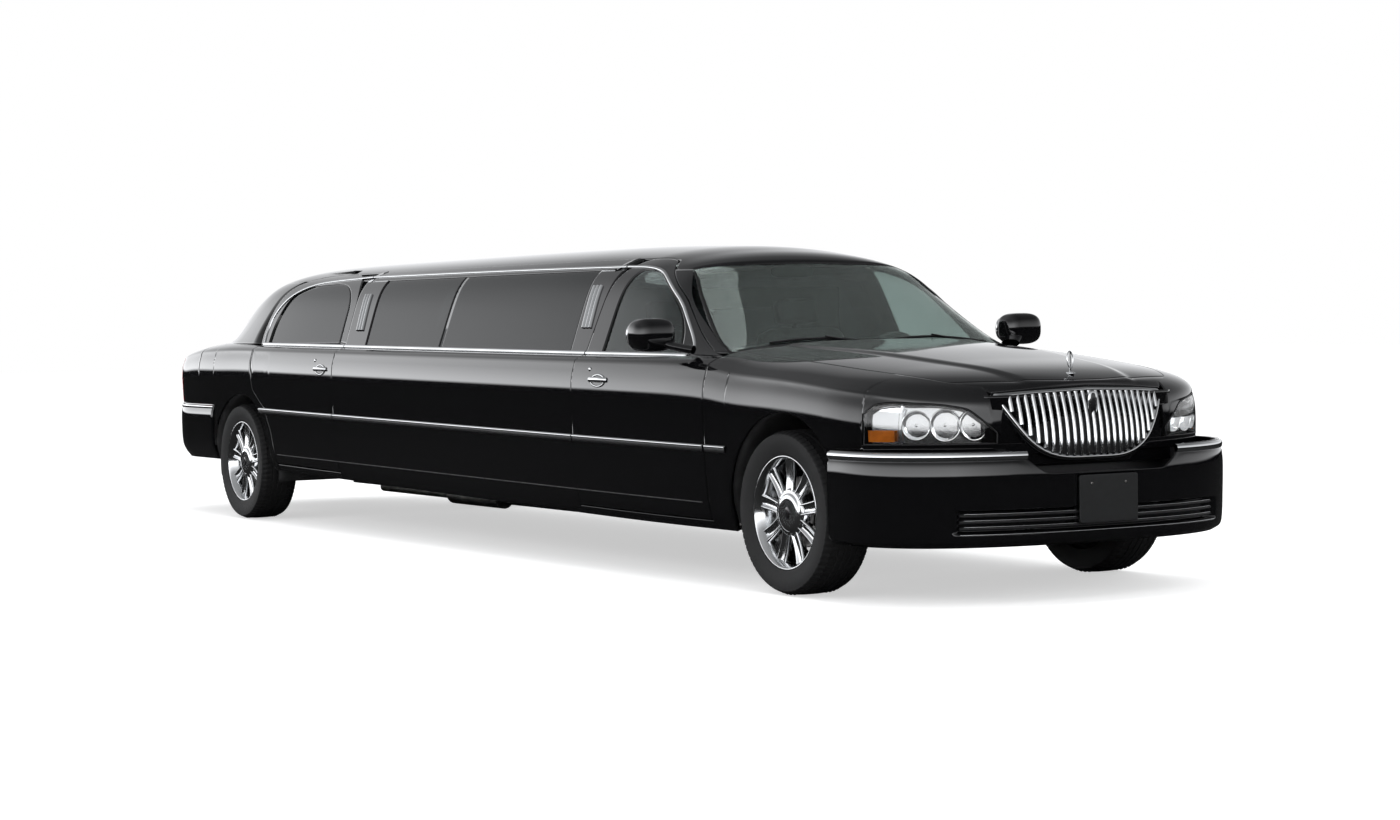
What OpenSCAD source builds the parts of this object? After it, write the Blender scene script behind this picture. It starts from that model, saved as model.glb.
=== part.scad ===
// Stretch limousine. +X points forward, +Y to the car's left and +Z up. The origin is on the ground,
// in the middle of the footprint. The body is two lofted solids: the lower body, and the greenhouse
// that stands on it. Each panel is a cut-out of their shell, so that neighbours share one surface.

/* [Overall] */
// Distance between the front and the rear axle
wheelbase = 6038; // [4800:1:7400]
// Front axle to the front bumper's face
front_overhang = 1045; // [1000:1:1260]
// Rear axle to the rear bumper's face
rear_overhang = 1437; // [1400:1:1730]
// Widest width of the painted body
body_width = 1956; // [1630:1:2350]
// Height of the roof's crown
roof_height = 1553; // [1400:1:1870]
// Height of the belt line at the front doors
belt_height = 1010; // [960:1:1060]

/* [Shells] */
// Thickness of a whole door and of the body's double-skinned sides
door_thick = 78; // [60:1:95]
// Thickness of the pillars and of the roof above the belt
frame_thick = 38; // [30:1:46]
// Thickness of a door's window frame
door_frame_thick = 22; // [17:1:26]
// Thickness of fenders, hood and boot lid
skin_thick = 20; // [15:1:26]
// Gap between neighbouring panels
panel_gap = 8; // [6:1:10]
// Extra gap round the doors, so that their thick edges clear as they swing
door_play = 5; // [4:1:8]
// Thickness of the glass
glass_thick = 6; // [4:1:8]
// How far the glass lies under the paintwork
glass_sink = 5; // [3:1:8]

/* [Wheels] */
// Radius of the tyres
tyre_radius = 352; // [300:1:422]
// Width of the tyres
tyre_width = 228; // [190:1:245]
// Radius of the rims, where the tyre sits
rim_radius = 246; // [205:1:260]
// Distance between the middles of the front wheels
front_track = 1604; // [1560:1:1640]
// Distance between the middles of the rear wheels
rear_track = 1650; // [1600:1:1680]
// Radius of the wheels' hub bore
hub_bore = 35; // [29:1:42]
// Running clearance of the hub bore on its spindle
hub_clear = 0.4; // [0.3:0.1:0.6]
// Number of spokes on a rim
spokes = 9; // [5:1:11]
// Space between a tyre and its wheel arch, fore and aft
arch_gap = 62; // [50:1:75]

/* [Openings] */
// Front axle back to the front edge of the front doors
door_front_set = 580; // [560:1:620]
// Length of a front door
front_door_length = 1155; // [960:1:1390]
// Length of a rear door at the belt
rear_door_length = 1236; // [1030:1:1300]
// Rear axle forward to the rear edge of the rear doors' glass
rear_glass_set = 262; // [230:1:300]

/* [Cabin] */
// Height of the floor above the ground
floor_height = 318; // [290:1:360]
// Thickness of the floor
floor_thick = 14; // [10:1:20]
// Height of a seat cushion above the floor
seat_height = 330; // [275:1:396]
// Depth of a seat cushion
seat_depth = 520; // [430:1:560]
// Thickness of a seat cushion
cushion_thick = 160; // [130:1:190]
// Thickness of a backrest
backrest_thick = 150; // [120:1:180]
// Height of a backrest above its cushion
backrest_height = 500; // [410:1:560]
// Width of a front seat
front_seat_width = 540; // [450:1:600]
// Diameter of the steering wheel
steering_wheel_d = 390; // [330:1:460]

/* [Front] */
// Width of the grille at its top
grille_top_width = 900; // [800:1:960]
// Height of the grille
grille_height = 282; // [240:1:300]
// Number of upright grille bars
grille_bars = 23; // [15:2:27]
// Distance between the two bolts of a licence plate
plate_bolts = 178; // [150:1:214]
// Radius of a licence plate's bolt holes
plate_bolt_r = 3.2; // [2.7:0.1:3.9]

/* [Hidden] */

$fn = 48;
over = 4000;          // long enough to reach right through the car
sliver = 0.3;         // smallest gap between curved faces that meet
length_all = front_overhang + wheelbase + rear_overhang;
xf = length_all / 2 - front_overhang;
xr = xf - wheelbase;
half_body = body_width / 2;
nose_end = xf + front_overhang - 118;
tail_end = xr - rear_overhang + 65;
nose_start = xf + 300;
tail_start = xr - 912;
nose_power = 2.6;
tail_power = 3;
crown_power = 2.3;    // superellipse of the hood's and the deck's cross-section
lean = 0.25;          // share of its half-width that the greenhouse loses by the top
roundness = 8;        // superellipse of the greenhouse's cross-section

// ---- smooth curves through a few chosen points ----

function slope(p, i) =
    let (a = max(i - 1, 0), b = min(i + 1, len(p) - 1))
    (p[b][1] - p[a][1]) / (p[b][0] - p[a][0]);

function span_at(p, x, i = 0) = i >= len(p) - 2 || x < p[i + 1][0] ? i : span_at(p, x, i + 1);

// Cubic through the points [x, value], held at its end values outside them
function curve(p, x) =
    let (q = min(max(x, p[0][0]), p[len(p) - 1][0]), i = span_at(p, q),
         h = p[i + 1][0] - p[i][0], u = (q - p[i][0]) / h)
    (2 * u * u * u - 3 * u * u + 1) * p[i][1] + (u * u * u - 2 * u * u + u) * h * slope(p, i)
    + (3 * u * u - 2 * u * u * u) * p[i + 1][1] + (u * u * u - u * u) * h * slope(p, i + 1);

// Points measured from the rear axle, then from the front axle, in one list along the car
function along(rear, front, base = 0, gain = 1) = concat(
    [for (p = rear) [xr + p[0], base + gain * p[1]]],
    [for (p = front) [xf + p[0], base + gain * p[1]]]);

// ---- the body's lines, each as heights or insets along the car ----

inset_line = along([[-1372, 90], [-1080, 62], [-700, 30], [-400, 18], [0, 13], [600, 3], [1500, 0]],
    [[-1700, 0], [-900, 16], [-300, 40], [0, 46], [300, 54], [600, 75], [930, 110]]);
shoulder_line = along(
    [[-1372, -85], [-1100, -45], [-700, -5], [-300, 8], [0, 11], [600, 6]],
    [[-1700, -34], [-900, -46], [-600, -60], [-347, -90], [100, -117], [552, -160], [800, -198],
     [930, -230]], belt_height);
crown_line = along(
    [[-1372, -55], [-1290, -10], [-1100, 38], [-900, 68], [-700, 90], [-400, 108], [0, 112],
     [600, 106]],
    [[-1700, 66], [-700, 73], [-430, 52], [0, 20], [400, -25], [700, -65], [880, -117],
     [930, -160]], belt_height);
sill_line = along([[-1372, 460], [-1080, 440], [-381, 333], [0, 320], [600, 315]],
    [[-1315, 255], [-366, 248], [0, 245], [400, 245], [900, 241]]);
belt_line = along([[-700, 58], [0, 55], [600, 49]], [[-1700, 8], [-824, 0], [-500, -5]], belt_height);
belt_inset = along([[-700, 218], [-500, 178], [-260, 128], [338, 93], [1400, 85]],
    [[-1400, 85], [-900, 103], [-600, 128], [-500, 133]]);
roof_base = belt_height + 20;
roof_line = along(
    [[-690, 0.096], [-600, 0.19], [-300, 0.69], [-100, 0.88], [60, 0.94], [338, 0.97],
     [1238, 0.987]],
    [[-2400, 1], [-1627, 0.967], [-1400, 0.923], [-1190, 0.835], [-1050, 0.65], [-700, 0.186],
     [-560, 0]], roof_base, roof_height - roof_base);
// How far the side turns in below and above its widest line, from sill 0 to shoulder 1
tuck_line = [[0, 62], [0.08, 40], [0.16, 27], [0.33, 14], [0.51, 6], [0.7, 1], [0.82, 0],
    [0.92, 6], [1, 22]];

function closing(x) =
    x > nose_start ? pow(1 - pow((x - nose_start) / (nose_end - nose_start), nose_power), 1 / nose_power) :
    x < tail_start ? pow(1 - pow((tail_start - x) / (tail_start - tail_end), tail_power), 1 / tail_power) :
    1;
function side_y(x, z) =
    let (low = curve(sill_line, x), high = curve(shoulder_line, x),
         u = min(max((z - low) / (high - low), 0), 1))
    (half_body - curve(inset_line, x) - curve(tuck_line, u)) * closing(x);
function belt_y(x) = half_body - curve(belt_inset, x);
function roof_z(f) = belt_height + f * (roof_height - belt_height);
function glass_y(x, z) =
    let (t = max((z - curve(belt_line, x)) / (curve(roof_line, x) - curve(belt_line, x)), 0))
    belt_y(x) * (1 - lean * t) * sqrt(1 - pow(min(t, 1), roundness));

// ---- lofted shells ----

side_steps = [0, 0.08, 0.16, 0.33, 0.51, 0.7, 0.82, 0.92, 1];
arc_steps = [11, 24, 38, 52, 65, 77, 90];
crown = len(side_steps) + len(arc_steps) - 1;    // index of the section's middle point
top_shares = [0, 0.25, 0.5, 0.68, 0.78, 0.86, 0.92, 0.965, 1];

// Ends of the inner skins move in by the wall, in proportion along each overhang
function pulled_in(x, wall) =
    x > xf ? xf + (x - xf) * (nose_end - xf - wall) / (nose_end - xf) :
    x < xr ? xr + (x - xr) * (xr - tail_end - wall) / (xr - tail_end) : x;

// Point i of the lower body's half section: up the side, then over to the crown in the middle
function low_point(x, i, wall) =
    let (low = curve(sill_line, x), high = curve(shoulder_line, x), top = curve(crown_line, x),
         n = len(side_steps), u = i < n ? side_steps[i] : 1, a = i < n ? 0 : arc_steps[i - n],
         out = (half_body - curve(inset_line, x) - curve(tuck_line, u)) * closing(x) - wall,
         rise = max(top - high - wall, 1))
    [pulled_in(x, wall), i == crown ? 0 : max(out, 1) * pow(cos(a), 2 / crown_power),
     low + u * (high - low) + (i < n ? 0 : rise * pow(sin(a), 2 / crown_power))];

// Point of the greenhouse's half section at a share t of its height
function top_point(x, t, wall) =
    let (low = curve(belt_line, x) + 1, high = max(curve(roof_line, x) - wall, low + 1))
    [x, t == 1 ? 0 : (belt_y(x) - wall) * (1 - lean * t) * sqrt(1 - pow(t, roundness)),
     low + t * (high - low)];

// Point i of a door's section, which runs from the sill up past the belt to the roof
door_shares = [0, 0.06, 0.3, 0.52, 0.7, 0.79, 0.87, 0.93];
function door_point(x, i, wall, wall_top) =
    let (n = len(side_steps), t = door_shares[max(i - n, 0)])
    i < n ? [x, side_y(x, curve(sill_line, x) + side_steps[i]
                * (curve(shoulder_line, x) - curve(sill_line, x))) - wall,
             curve(sill_line, x) + side_steps[i] * (curve(shoulder_line, x) - curve(sill_line, x))] :
    [x, glass_y(x, curve(belt_line, x) + t * (curve(roof_line, x) - curve(belt_line, x)))
        - (i == n ? wall : wall_top),
     curve(belt_line, x) + t * (curve(roof_line, x) - curve(belt_line, x))];
door_count = len(side_steps) + len(door_shares);

function flipped(p) = [p[0], -p[1], p[2]];
// Half a section and its mirror image over the middle
function whole(half) = concat(half, [for (i = [len(half) - 2:-1:0]) flipped(half[i])]);
function backwards(p) = [for (i = [len(p) - 1:-1:0]) p[i]];

// Skin over a row of rings. Each ring runs out along one face of a wall and back along the other,
// so that both flat ends are bands of small faces across the wall.
module loft(rings) {
    n = len(rings[0]);
    m = len(rings);
    points = [for (r = rings) for (p = r) p];
    sides = [for (k = [0:m - 2], i = [0:n - 1])
        let (a = k * n + i, b = k * n + (i + 1) % n, c = a + n, d = b + n)
        each [[a, b, c], [b, d, c]]];
    ends = [for (i = [0:n / 2 - 2]) let (e = (m - 1) * n)
        each [[i + 1, i, n - 1 - i], [i + 1, n - 1 - i, n - 2 - i],
              [e + i, e + i + 1, e + n - 1 - i], [e + i + 1, e + n - 2 - i, e + n - 1 - i]]];
    polyhedron(points, concat(sides, ends));
}
// One side of the lower body's skin, from section point i0 up to i1
module side_skin(xs, i0, i1, wall) loft([for (x = xs) concat(
    [for (i = [i0:i1]) low_point(x, i, 0)],
    [for (i = [i1:-1:i0]) low_point(x, i, wall)])]);
// The lower body's skin from section point i0 over the crown to the same point on the other side
module crown_skin(xs, i0, wall) loft([for (x = xs) concat(
    whole([for (i = [i0:crown]) low_point(x, i, 0)]),
    backwards(whole([for (i = [i0:crown]) low_point(x, i, wall)])))]);
// The greenhouse's skin between two depths under its surface
module top_skin(xs, outer, inner, from = 0) loft([for (x = xs) concat(
    whole([for (k = [from:len(top_shares) - 1]) top_point(x, top_shares[k], outer)]),
    backwards(whole([for (k = [from:len(top_shares) - 1]) top_point(x, top_shares[k], inner)])))]);
// One side of the body from the sill to the roof, as thick as a door
module door_skin(xs, i0 = 0, i1 = door_count - 1, outer = 0, wall = door_thick, wall_top = frame_thick)
    loft([for (x = xs) concat(
        [for (i = [i0:i1]) door_point(x, i, outer, outer)],
        [for (i = [i1:-1:i0]) door_point(x, i, wall, wall_top)])]);

// Outline in X and Z, extruded through the car, or from its middle to one side (+1 left, -1 right)
module side_cut(side = 0)
    translate([0, side == 0 ? over / 2 : side > 0 ? over : 0, 0]) rotate([90, 0, 0])
        linear_extrude(over) children();
// Outline in X and Y, extruded upwards from a height
module plan_cut(from = 0, tall = over) translate([0, 0, from]) linear_extrude(tall) children();
// Block between two places along the car
module between(x0, x1, z0 = -100, z1 = over)
    translate([x0, -over / 2, z0]) cube([x1 - x0, over, z1 - z0]);

// ---- outlines of openings and panels ----

arch_a = tyre_radius + arch_gap;                 // half length of the front wheel arch
arch_rise = 410 - 352 + tyre_radius;             // height of the arch over its centre
arch_centre = tyre_radius + 18;
rear_arch_a = tyre_radius + arch_gap + 74;
rear_arch_rise = 430 - 352 + tyre_radius;
rear_arch_centre = tyre_radius - 16;
// A half ellipse over a wheel, leaning by skew at its top, with its legs run down to the ground
module arch_shape(x, centre, a, rise, skew) polygon(concat(
    [for (t = [0:6:180]) [x + a * cos(t) + skew * sin(t), centre + rise * sin(t)]],
    [[x - a, -60], [x + a, -60]]));
module arches() {
    side_cut() arch_shape(xf + 5, arch_centre, arch_a, arch_rise, 20);
    side_cut() arch_shape(xr - 7, rear_arch_centre, rear_arch_a, rear_arch_rise, 80);
}

fd_front = xf - door_front_set;
fd_rear = fd_front - front_door_length;
rd_glass_rear = xr + rear_glass_set;
rd_rear = xr + 305;
rd_front = rd_rear + rear_door_length - 57;
door_sill = 40;                                  // height of the door's lower edge over the sill
door_top = 0.85;                                 // share of the roof's rise where the doors end
module front_door_shape() polygon([
    [fd_rear - 25, curve(sill_line, fd_rear) + door_sill], [fd_rear, 520],
    [fd_rear, roof_z(door_top)], [xf - 1460, roof_z(door_top)], [xf - 1365, roof_z(0.78)],
    [xf - 1147, roof_z(0.575)], [xf - 966, roof_z(0.32)], [xf - 832, roof_z(0.15)],
    [xf - 678, roof_z(0.035)], [fd_front, belt_height + 12], [fd_front, 600], [fd_front - 15, 450],
    [fd_front - 60, curve(sill_line, fd_front) + door_sill]]);
module door_holes() side_cut() offset(delta = panel_gap / 2 + door_play) {
    front_door_shape();
    rear_door_shape();
}
module front_glass_shape() polygon([
    [fd_rear + 150, belt_height + 18], [fd_rear + 120, roof_z(0.755)], [xf - 1480, roof_z(0.765)],
    [xf - 1370, roof_z(0.715)], [xf - 1165, roof_z(0.53)], [xf - 1000, roof_z(0.29)],
    [xf - 900, belt_height + 18]]);
module rear_door_shape() polygon([
    [rd_front - 10, curve(sill_line, rd_front) + door_sill], [rd_front, 520],
    [rd_front, curve(belt_line, rd_front)], [rd_front - 130, roof_z(door_top)],
    [rd_front - 830, roof_z(door_top)], [xr + 390, roof_z(0.79)], [xr + 270, roof_z(0.69)],
    [xr + 195, roof_z(0.5)], [xr + 180, roof_z(0.25)], [xr + 230, roof_z(0.085)],
    [xr + 300, belt_height - 50], [xr + 262, belt_height - 160], [xr + 285, belt_height - 215],
    [xr + 455, belt_height - 320], [xr + 535, belt_height - 450], [xr + 560, belt_height - 600],
    [xr + 560, curve(sill_line, xr + 560) + door_sill]]);
module rear_glass_shape() polygon([
    [rd_front - 75, curve(belt_line, rd_front) + 12], [rd_front - 190, roof_z(0.765)],
    [xr + 575, roof_z(0.745)], [xr + 455, roof_z(0.7)], [xr + 360, roof_z(0.58)],
    [xr + 300, roof_z(0.35)], [xr + 330, roof_z(0.1)]]);
pillar_b = fd_rear - 150;                        // front edge of the fixed side windows
pillar_c = rd_front + 270;                       // rear edge of the fixed side windows
window_split = (pillar_b + pillar_c) / 2 - 260;
split_width = 30;
module side_window_shape() {
    polygon([[pillar_b, curve(belt_line, pillar_b) + 12], [pillar_b - 60, roof_z(0.765)],
        [window_split + split_width / 2 - 60, roof_z(0.765)],
        [window_split + split_width / 2, curve(belt_line, window_split) + 12]]);
    polygon([[window_split - split_width / 2, curve(belt_line, window_split) + 12],
        [window_split - split_width / 2 - 60, roof_z(0.765)], [pillar_c - 110, roof_z(0.76)],
        [pillar_c, curve(belt_line, pillar_c) + 12]]);
}
// The windscreen and the backlight as seen from the front
windscreen_top = [[-776, belt_height + 30], [-590, roof_z(0.745)], [-300, roof_z(0.785)],
    [300, roof_z(0.785)], [590, roof_z(0.745)], [776, belt_height + 30]];
module backlight_shape() polygon([
    [-640, roof_z(0.18)], [-560, roof_z(0.8)], [-280, roof_z(0.86)], [-40, roof_z(0.88)],
    [40, roof_z(0.88)], [280, roof_z(0.86)], [560, roof_z(0.8)], [640, roof_z(0.18)],
    [40, roof_z(0.12)], [-40, roof_z(0.12)]]);
module front_facing(x0, x1)
    translate([x0, 0, 0]) rotate([90, 0, 90]) linear_extrude(x1 - x0) children();

hood_rear = xf - 500;
hood_front = nose_end - 64;
hood_side = 742;
// The hood's outline from above, with a bowed rear edge and a rounded front
module hood_shape() polygon([
    [hood_rear, 0], [hood_rear - 2, 350], [hood_rear - 42, 600], [hood_rear - 80, hood_side],
    [xf, hood_side - 12], [xf + 400, hood_side - 50], [hood_front - 150, hood_side - 160],
    [hood_front - 45, hood_side - 320], [hood_front, 300], [hood_front, -300],
    [hood_front - 45, 320 - hood_side], [hood_front - 150, 160 - hood_side],
    [xf + 400, 50 - hood_side], [xf, 12 - hood_side], [hood_rear - 80, -hood_side],
    [hood_rear - 42, -600], [hood_rear - 2, -350]]);
lid_front = xr - 640;
lid_side = 735;
module lid_shape() polygon([
    [lid_front, 0], [lid_front - 5, 450], [lid_front - 30, 640], [lid_front - 60, lid_side],
    [xr - 900, lid_side - 5], [tail_end - 60, lid_side - 25], [tail_end - 60, 25 - lid_side],
    [xr - 900, 5 - lid_side], [lid_front - 60, -lid_side], [lid_front - 30, -640],
    [lid_front - 5, -450]]);
bumper_top = 628;                                // top edge of the front bumper at its corners
rear_bumper_top = 690;
lamp_low = 655;
lamp_end = xf + 545;

// ---- painted panels ----

paint = "#15161a";
nose_stations = [for (d = [200, 125, 70, 32, 10, 0.5]) nose_end - d];
tail_stations = [for (d = [0.5, 10, 40, 90, 170, 290, 460]) tail_end + d];

module hood() color(paint) intersection() {
    crown_skin(concat([for (d = [-640, -500, -347, -150, 100, 300, 500, 640]) xf + d],
        nose_stations), len(side_steps) - 1, skin_thick);
    plan_cut(700) offset(delta = -panel_gap / 2) hood_shape();
}

module boot_lid() color(paint) intersection() {
    crown_skin(concat(tail_stations, [for (d = [670, 870]) tail_end + d]), 3, skin_thick);
    plan_cut(rear_bumper_top + panel_gap) offset(delta = -panel_gap / 2) lid_shape();
}

// Scuttle between the hood's rear edge and the windscreen
cowl_side = hood_side - panel_gap;
cowl_half = [[-500 - panel_gap, 0], [-502 - panel_gap, 350], [-542 - panel_gap, 600],
    [-580 - panel_gap, cowl_side], [-584 - panel_gap, cowl_side], [-584 - panel_gap, 632], [-672, 600],
    [-684, 400], [-686, 0]];
module cowl() color(paint) intersection() {
    crown_skin([for (d = [-760, -640, -560, -440]) xf + d], len(side_steps) - 1, skin_thick);
    plan_cut(900) polygon([for (p = whole(cowl_half)) [xf + p[0], p[1]]]);
}

module front_fenders() color(paint) for (s = [0, 1]) mirror([0, s, 0]) difference() {
    side_skin(concat([for (d = [panel_gap - door_front_set, -480, -347, -150, 100, 300, 450, 620]) xf + d],
        nose_stations), 0, crown - 2, skin_thick);
    plan_cut() offset(delta = panel_gap / 2) hood_shape();
    translate([xf - 700, -hood_side - panel_gap / 2, 700]) cube([200, 2 * hood_side + panel_gap, over]);
    arches();
    between(lamp_end - panel_gap / 2, xf + front_overhang, -100, 832);
    between(xf, xf + front_overhang, -100, bumper_top + panel_gap);
    translate([nose_end - 110, -grille_top_width / 2 - 14, 0]) cube([over, grille_top_width + 28, over]);
}

// A whole door with its window cut out
module door(side, xs) mirror([0, side > 0 ? 0 : 1, 0]) difference() {
    intersection() {
        door_skin(xs, wall_top = door_frame_thick);
        side_cut(1) offset(delta = -panel_gap / 2) children(0);
    }
    side_cut(1) children(1);
}
front_door_stations = [for (d = [-40, 150, 400, 560, 700, 800, 900, 1000, 1100, 1220]) fd_rear + d];
rear_door_stations = concat([for (d = [120, 200, 300, 400, 520, 660, 900]) xr + d],
    [for (d = [-120, 40]) rd_front + d]);
module front_door(side) color(paint) door(side, front_door_stations) {
    front_door_shape();
    front_glass_shape();
}
module rear_door(side) color(paint) door(side, rear_door_stations) {
    rear_door_shape();
    rear_glass_shape();
}

glass_deep = glass_sink + glass_thick;
module side_pane(xs, side) mirror([0, side > 0 ? 0 : 1, 0]) intersection() {
    door_skin(xs, len(side_steps), door_count - 1, glass_sink, glass_deep, glass_deep);
    side_cut(1) offset(delta = -sliver) children();
}
tint = [0.1, 0.12, 0.12, 0.6];
module front_glass(side) color(tint)
    side_pane([for (d = [-40, 400, 560, 700, 900]) fd_rear + d], side) front_glass_shape();
module rear_glass(side) color(tint)
    side_pane(concat([for (d = [220, 330, 450, 600, 900]) xr + d], [rd_front]), side) rear_glass_shape();
module side_windows() color(tint) for (s = [-1, 1])
    side_pane([for (k = [0:4]) pillar_c - 120 + k * (pillar_b - pillar_c + 160) / 4], s)
        side_window_shape();
windscreen_stations = [for (d = [-1400, -1290, -1190, -1120, -1050, -900, -760, -690]) xf + d];
backlight_stations = [for (d = [-630, -560, -500, -400, -300, -200, -100, 0]) xr + d];
module windscreen() color(tint) intersection() {
    top_skin(windscreen_stations, glass_sink, glass_deep, 1);
    front_facing(xf - 1600, xf) polygon(windscreen_top);
}
module rear_window() color(tint) intersection() {
    top_skin(backlight_stations, glass_sink, glass_deep, 1);
    front_facing(xr - 900, xr) offset(delta = -sliver) backlight_shape();
}

// Roof with all fixed pillars and window frames
module roof() color(paint) difference() {
    top_skin(concat([for (d = [-690, -600, -500, -400, -300, -200, -100, 60, 338, 1238]) xr + d],
        [for (d = [-2400, -1900, -1627, -1400, -1290, -1190, -1120, -1050, -900, -760, -660, -600])
            xf + d]), 0, frame_thick);
    door_holes();
    between(xr - 720, lid_front + panel_gap);
    side_cut() side_window_shape();
    front_facing(xf - 1600, xf) offset(delta = sliver) polygon(windscreen_top);
    front_facing(xf - 800, xf) translate([-640, belt_height - 100]) square([1280, 180]);
    front_facing(xr - 900, xr) backlight_shape();
}

// Double-skinned sides between the doors, with the sills under all four doors
module side_panels() color(paint) for (s = [0, 1]) mirror([0, s, 0]) difference() {
    door_skin(concat([xr + 566, xr + 800, rd_front, rd_front + 200],
        [for (k = [1:3]) rd_front + 200 + k * (fd_rear - rd_front - 300) / 4],
        [fd_rear - 100, fd_rear, fd_rear + 400, fd_rear + 800, fd_front + panel_gap / 2]), 0,
        len(side_steps));
    door_holes();
}

module greenhouse_base() polygon(concat(
    [for (d = [-640, -500, -350, -200, 0, 338, 700]) [xr + d, belt_y(xr + d)]],
    [for (d = [700, 338, 0, -200, -350, -500, -640]) [xr + d, -belt_y(xr + d)]]));
module quarter_panels() color(paint) for (s = [0, 1]) mirror([0, s, 0]) difference() {
    side_skin(concat(tail_stations, [for (d = [670, 870, 1070]) tail_end + d],
        [for (d = [0, 300, 558]) xr + d]), 0, crown - 1, skin_thick);
    side_cut() offset(delta = panel_gap / 2 + door_play) rear_door_shape();
    plan_cut() offset(delta = panel_gap / 2) lid_shape();
    plan_cut(belt_height - 40) offset(delta = 2.5) greenhouse_base();
    arches();
    between(xr - 1600, xr - 400, -200, rear_bumper_top + panel_gap);
    tail_light_zone(panel_gap / 2);
}

// ---- bumpers, lamps and grille ----

bumper_start = xf + 450;
function bumper_y(x) =
    (half_body - 28) * pow(1 - pow(max(x - bumper_start, 0) / (xf + front_overhang - bumper_start), 2.5), 0.4);
module bumper_plan(wall = 0) {
    xs = concat([xf + 200, bumper_start],
        [for (s = [0.3, 0.5, 0.65, 0.78, 0.88, 0.95, 0.985, 0.9999])
            bumper_start + s * (xf + front_overhang - bumper_start)]);
    offset(delta = -wall) polygon(concat([for (x = xs) [x, bumper_y(x)]],
        [for (i = [len(xs) - 1:-1:0]) [xs[i], -bumper_y(xs[i])]]));
}
bumper_low = 243;
bumper_wall = 60;
plate_recess = 40;                               // how deep the front plate holder sits in the bumper
module front_bumper() color(paint) difference() {
    translate([0, 0, bumper_low]) linear_extrude(bumper_top - bumper_low) bumper_plan();
    translate([0, 0, bumper_low - 1]) linear_extrude(over) bumper_plan(bumper_wall);
    side_cut() arch_shape(xf + 5, arch_centre, arch_a, arch_rise, 20);
    between(xf, xf + arch_a - 10);
    translate([xf + 700, -680, 300]) cube([over, 1360, 96]);
    front_facing(xf + 700, xf + 1300) resize([grille_top_width * 0.86, 150]) circle(1);
    translate([xf + front_overhang - plate_recess, -160, 328]) cube([80, 320, 195]);
}
rear_start = xr - 850;
function rear_bumper_y(x) =
    (half_body - 52) * pow(1 - pow(max(rear_start - x, 0) / (rear_start - xr + rear_overhang), 3), 1 / 3);
module rear_bumper_plan(wall = 0) {
    xs = concat([xr - 300, rear_start],
        [for (s = [0.4, 0.6, 0.75, 0.87, 0.95, 0.985, 0.9999])
            rear_start + s * (xr - rear_overhang - rear_start)]);
    offset(delta = -wall) polygon(concat([for (x = xs) [x, rear_bumper_y(x)]],
        [for (i = [len(xs) - 1:-1:0]) [xs[i], -rear_bumper_y(xs[i])]]));
}
rear_bumper_low = 400;
module rear_bumper() color(paint) difference() {
    translate([0, 0, rear_bumper_low - 60]) linear_extrude(rear_bumper_top - rear_bumper_low + 60)
        rear_bumper_plan();
    translate([0, 0, rear_bumper_low - 61]) linear_extrude(over) rear_bumper_plan(bumper_wall);
    side_cut() arch_shape(xr - 7, rear_arch_centre, rear_arch_a, rear_arch_rise, 80);
    between(xr - rear_arch_a + 8, xr);
    side_cut() polygon([[xr - 700, 300], [xr - rear_overhang - 10, 300], [xr - rear_overhang - 10, 420]]);
    translate([xr - rear_overhang - 50, -160, 463]) cube([50 + plate_thick + 2 * sliver, 320, 194]);
}

plate_w = 310;
plate_h = 185;
plate_thick = 6;
front_plate_z = 425;
rear_plate_z = 560;
// Flat bolt-on plate holders, one on each bumper, with two through holes each
module plate_holder(x, z) difference() {
    translate([x - plate_thick / 2, -plate_w / 2, z - plate_h / 2]) cube([plate_thick, plate_w, plate_h]);
    for (s = [-1, 1])
        translate([x - plate_thick, s * plate_bolts / 2, z + plate_h / 2 - 30]) rotate([0, 90, 0])
            cylinder(h = plate_thick * 2, r = plate_bolt_r);
}
module plate_holders() color("#202226") {
    plate_holder(xf + front_overhang - plate_recess + plate_thick / 2 + sliver, front_plate_z);
    plate_holder(xr - rear_overhang + plate_thick / 2 + sliver, rear_plate_z);
}

grille_low = 577;
grille_rake = 10;                                // degrees that the grille leans back
grille_depth = 40;
module grille_outline() {
    w = grille_top_width / 2;
    h = grille_height;
    polygon([[-w * 0.5, 8], [-w * 0.72, h * 0.22], [-w * 0.9, h * 0.6], [-w, h * 0.9],
        [-w * 0.92, h * 0.945], [-w * 0.5, h * 0.985], [0, h], [w * 0.5, h * 0.985],
        [w * 0.92, h * 0.945], [w, h * 0.9], [w * 0.9, h * 0.6],
        [w * 0.72, h * 0.22], [w * 0.5, 8], [w * 0.2, 0], [-w * 0.2, 0]]);
}
module grille_inner() translate([0, 30]) scale([0.9, 0.82]) grille_outline();
module grille() color("silver") translate([nose_end - 22, 0, grille_low]) rotate([0, -grille_rake, 0])
    rotate([90, 0, 90]) {
        linear_extrude(grille_depth) difference() {
            grille_outline();
            grille_inner();
        }
        translate([0, 0, 5]) linear_extrude(grille_depth - 18) intersection() {
            grille_inner();
            for (i = [0:grille_bars - 1])
                translate([(i - (grille_bars - 1) / 2) * grille_top_width * 0.9 / grille_bars - 6, 0])
                    square([12, grille_height]);
        }
    }

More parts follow.
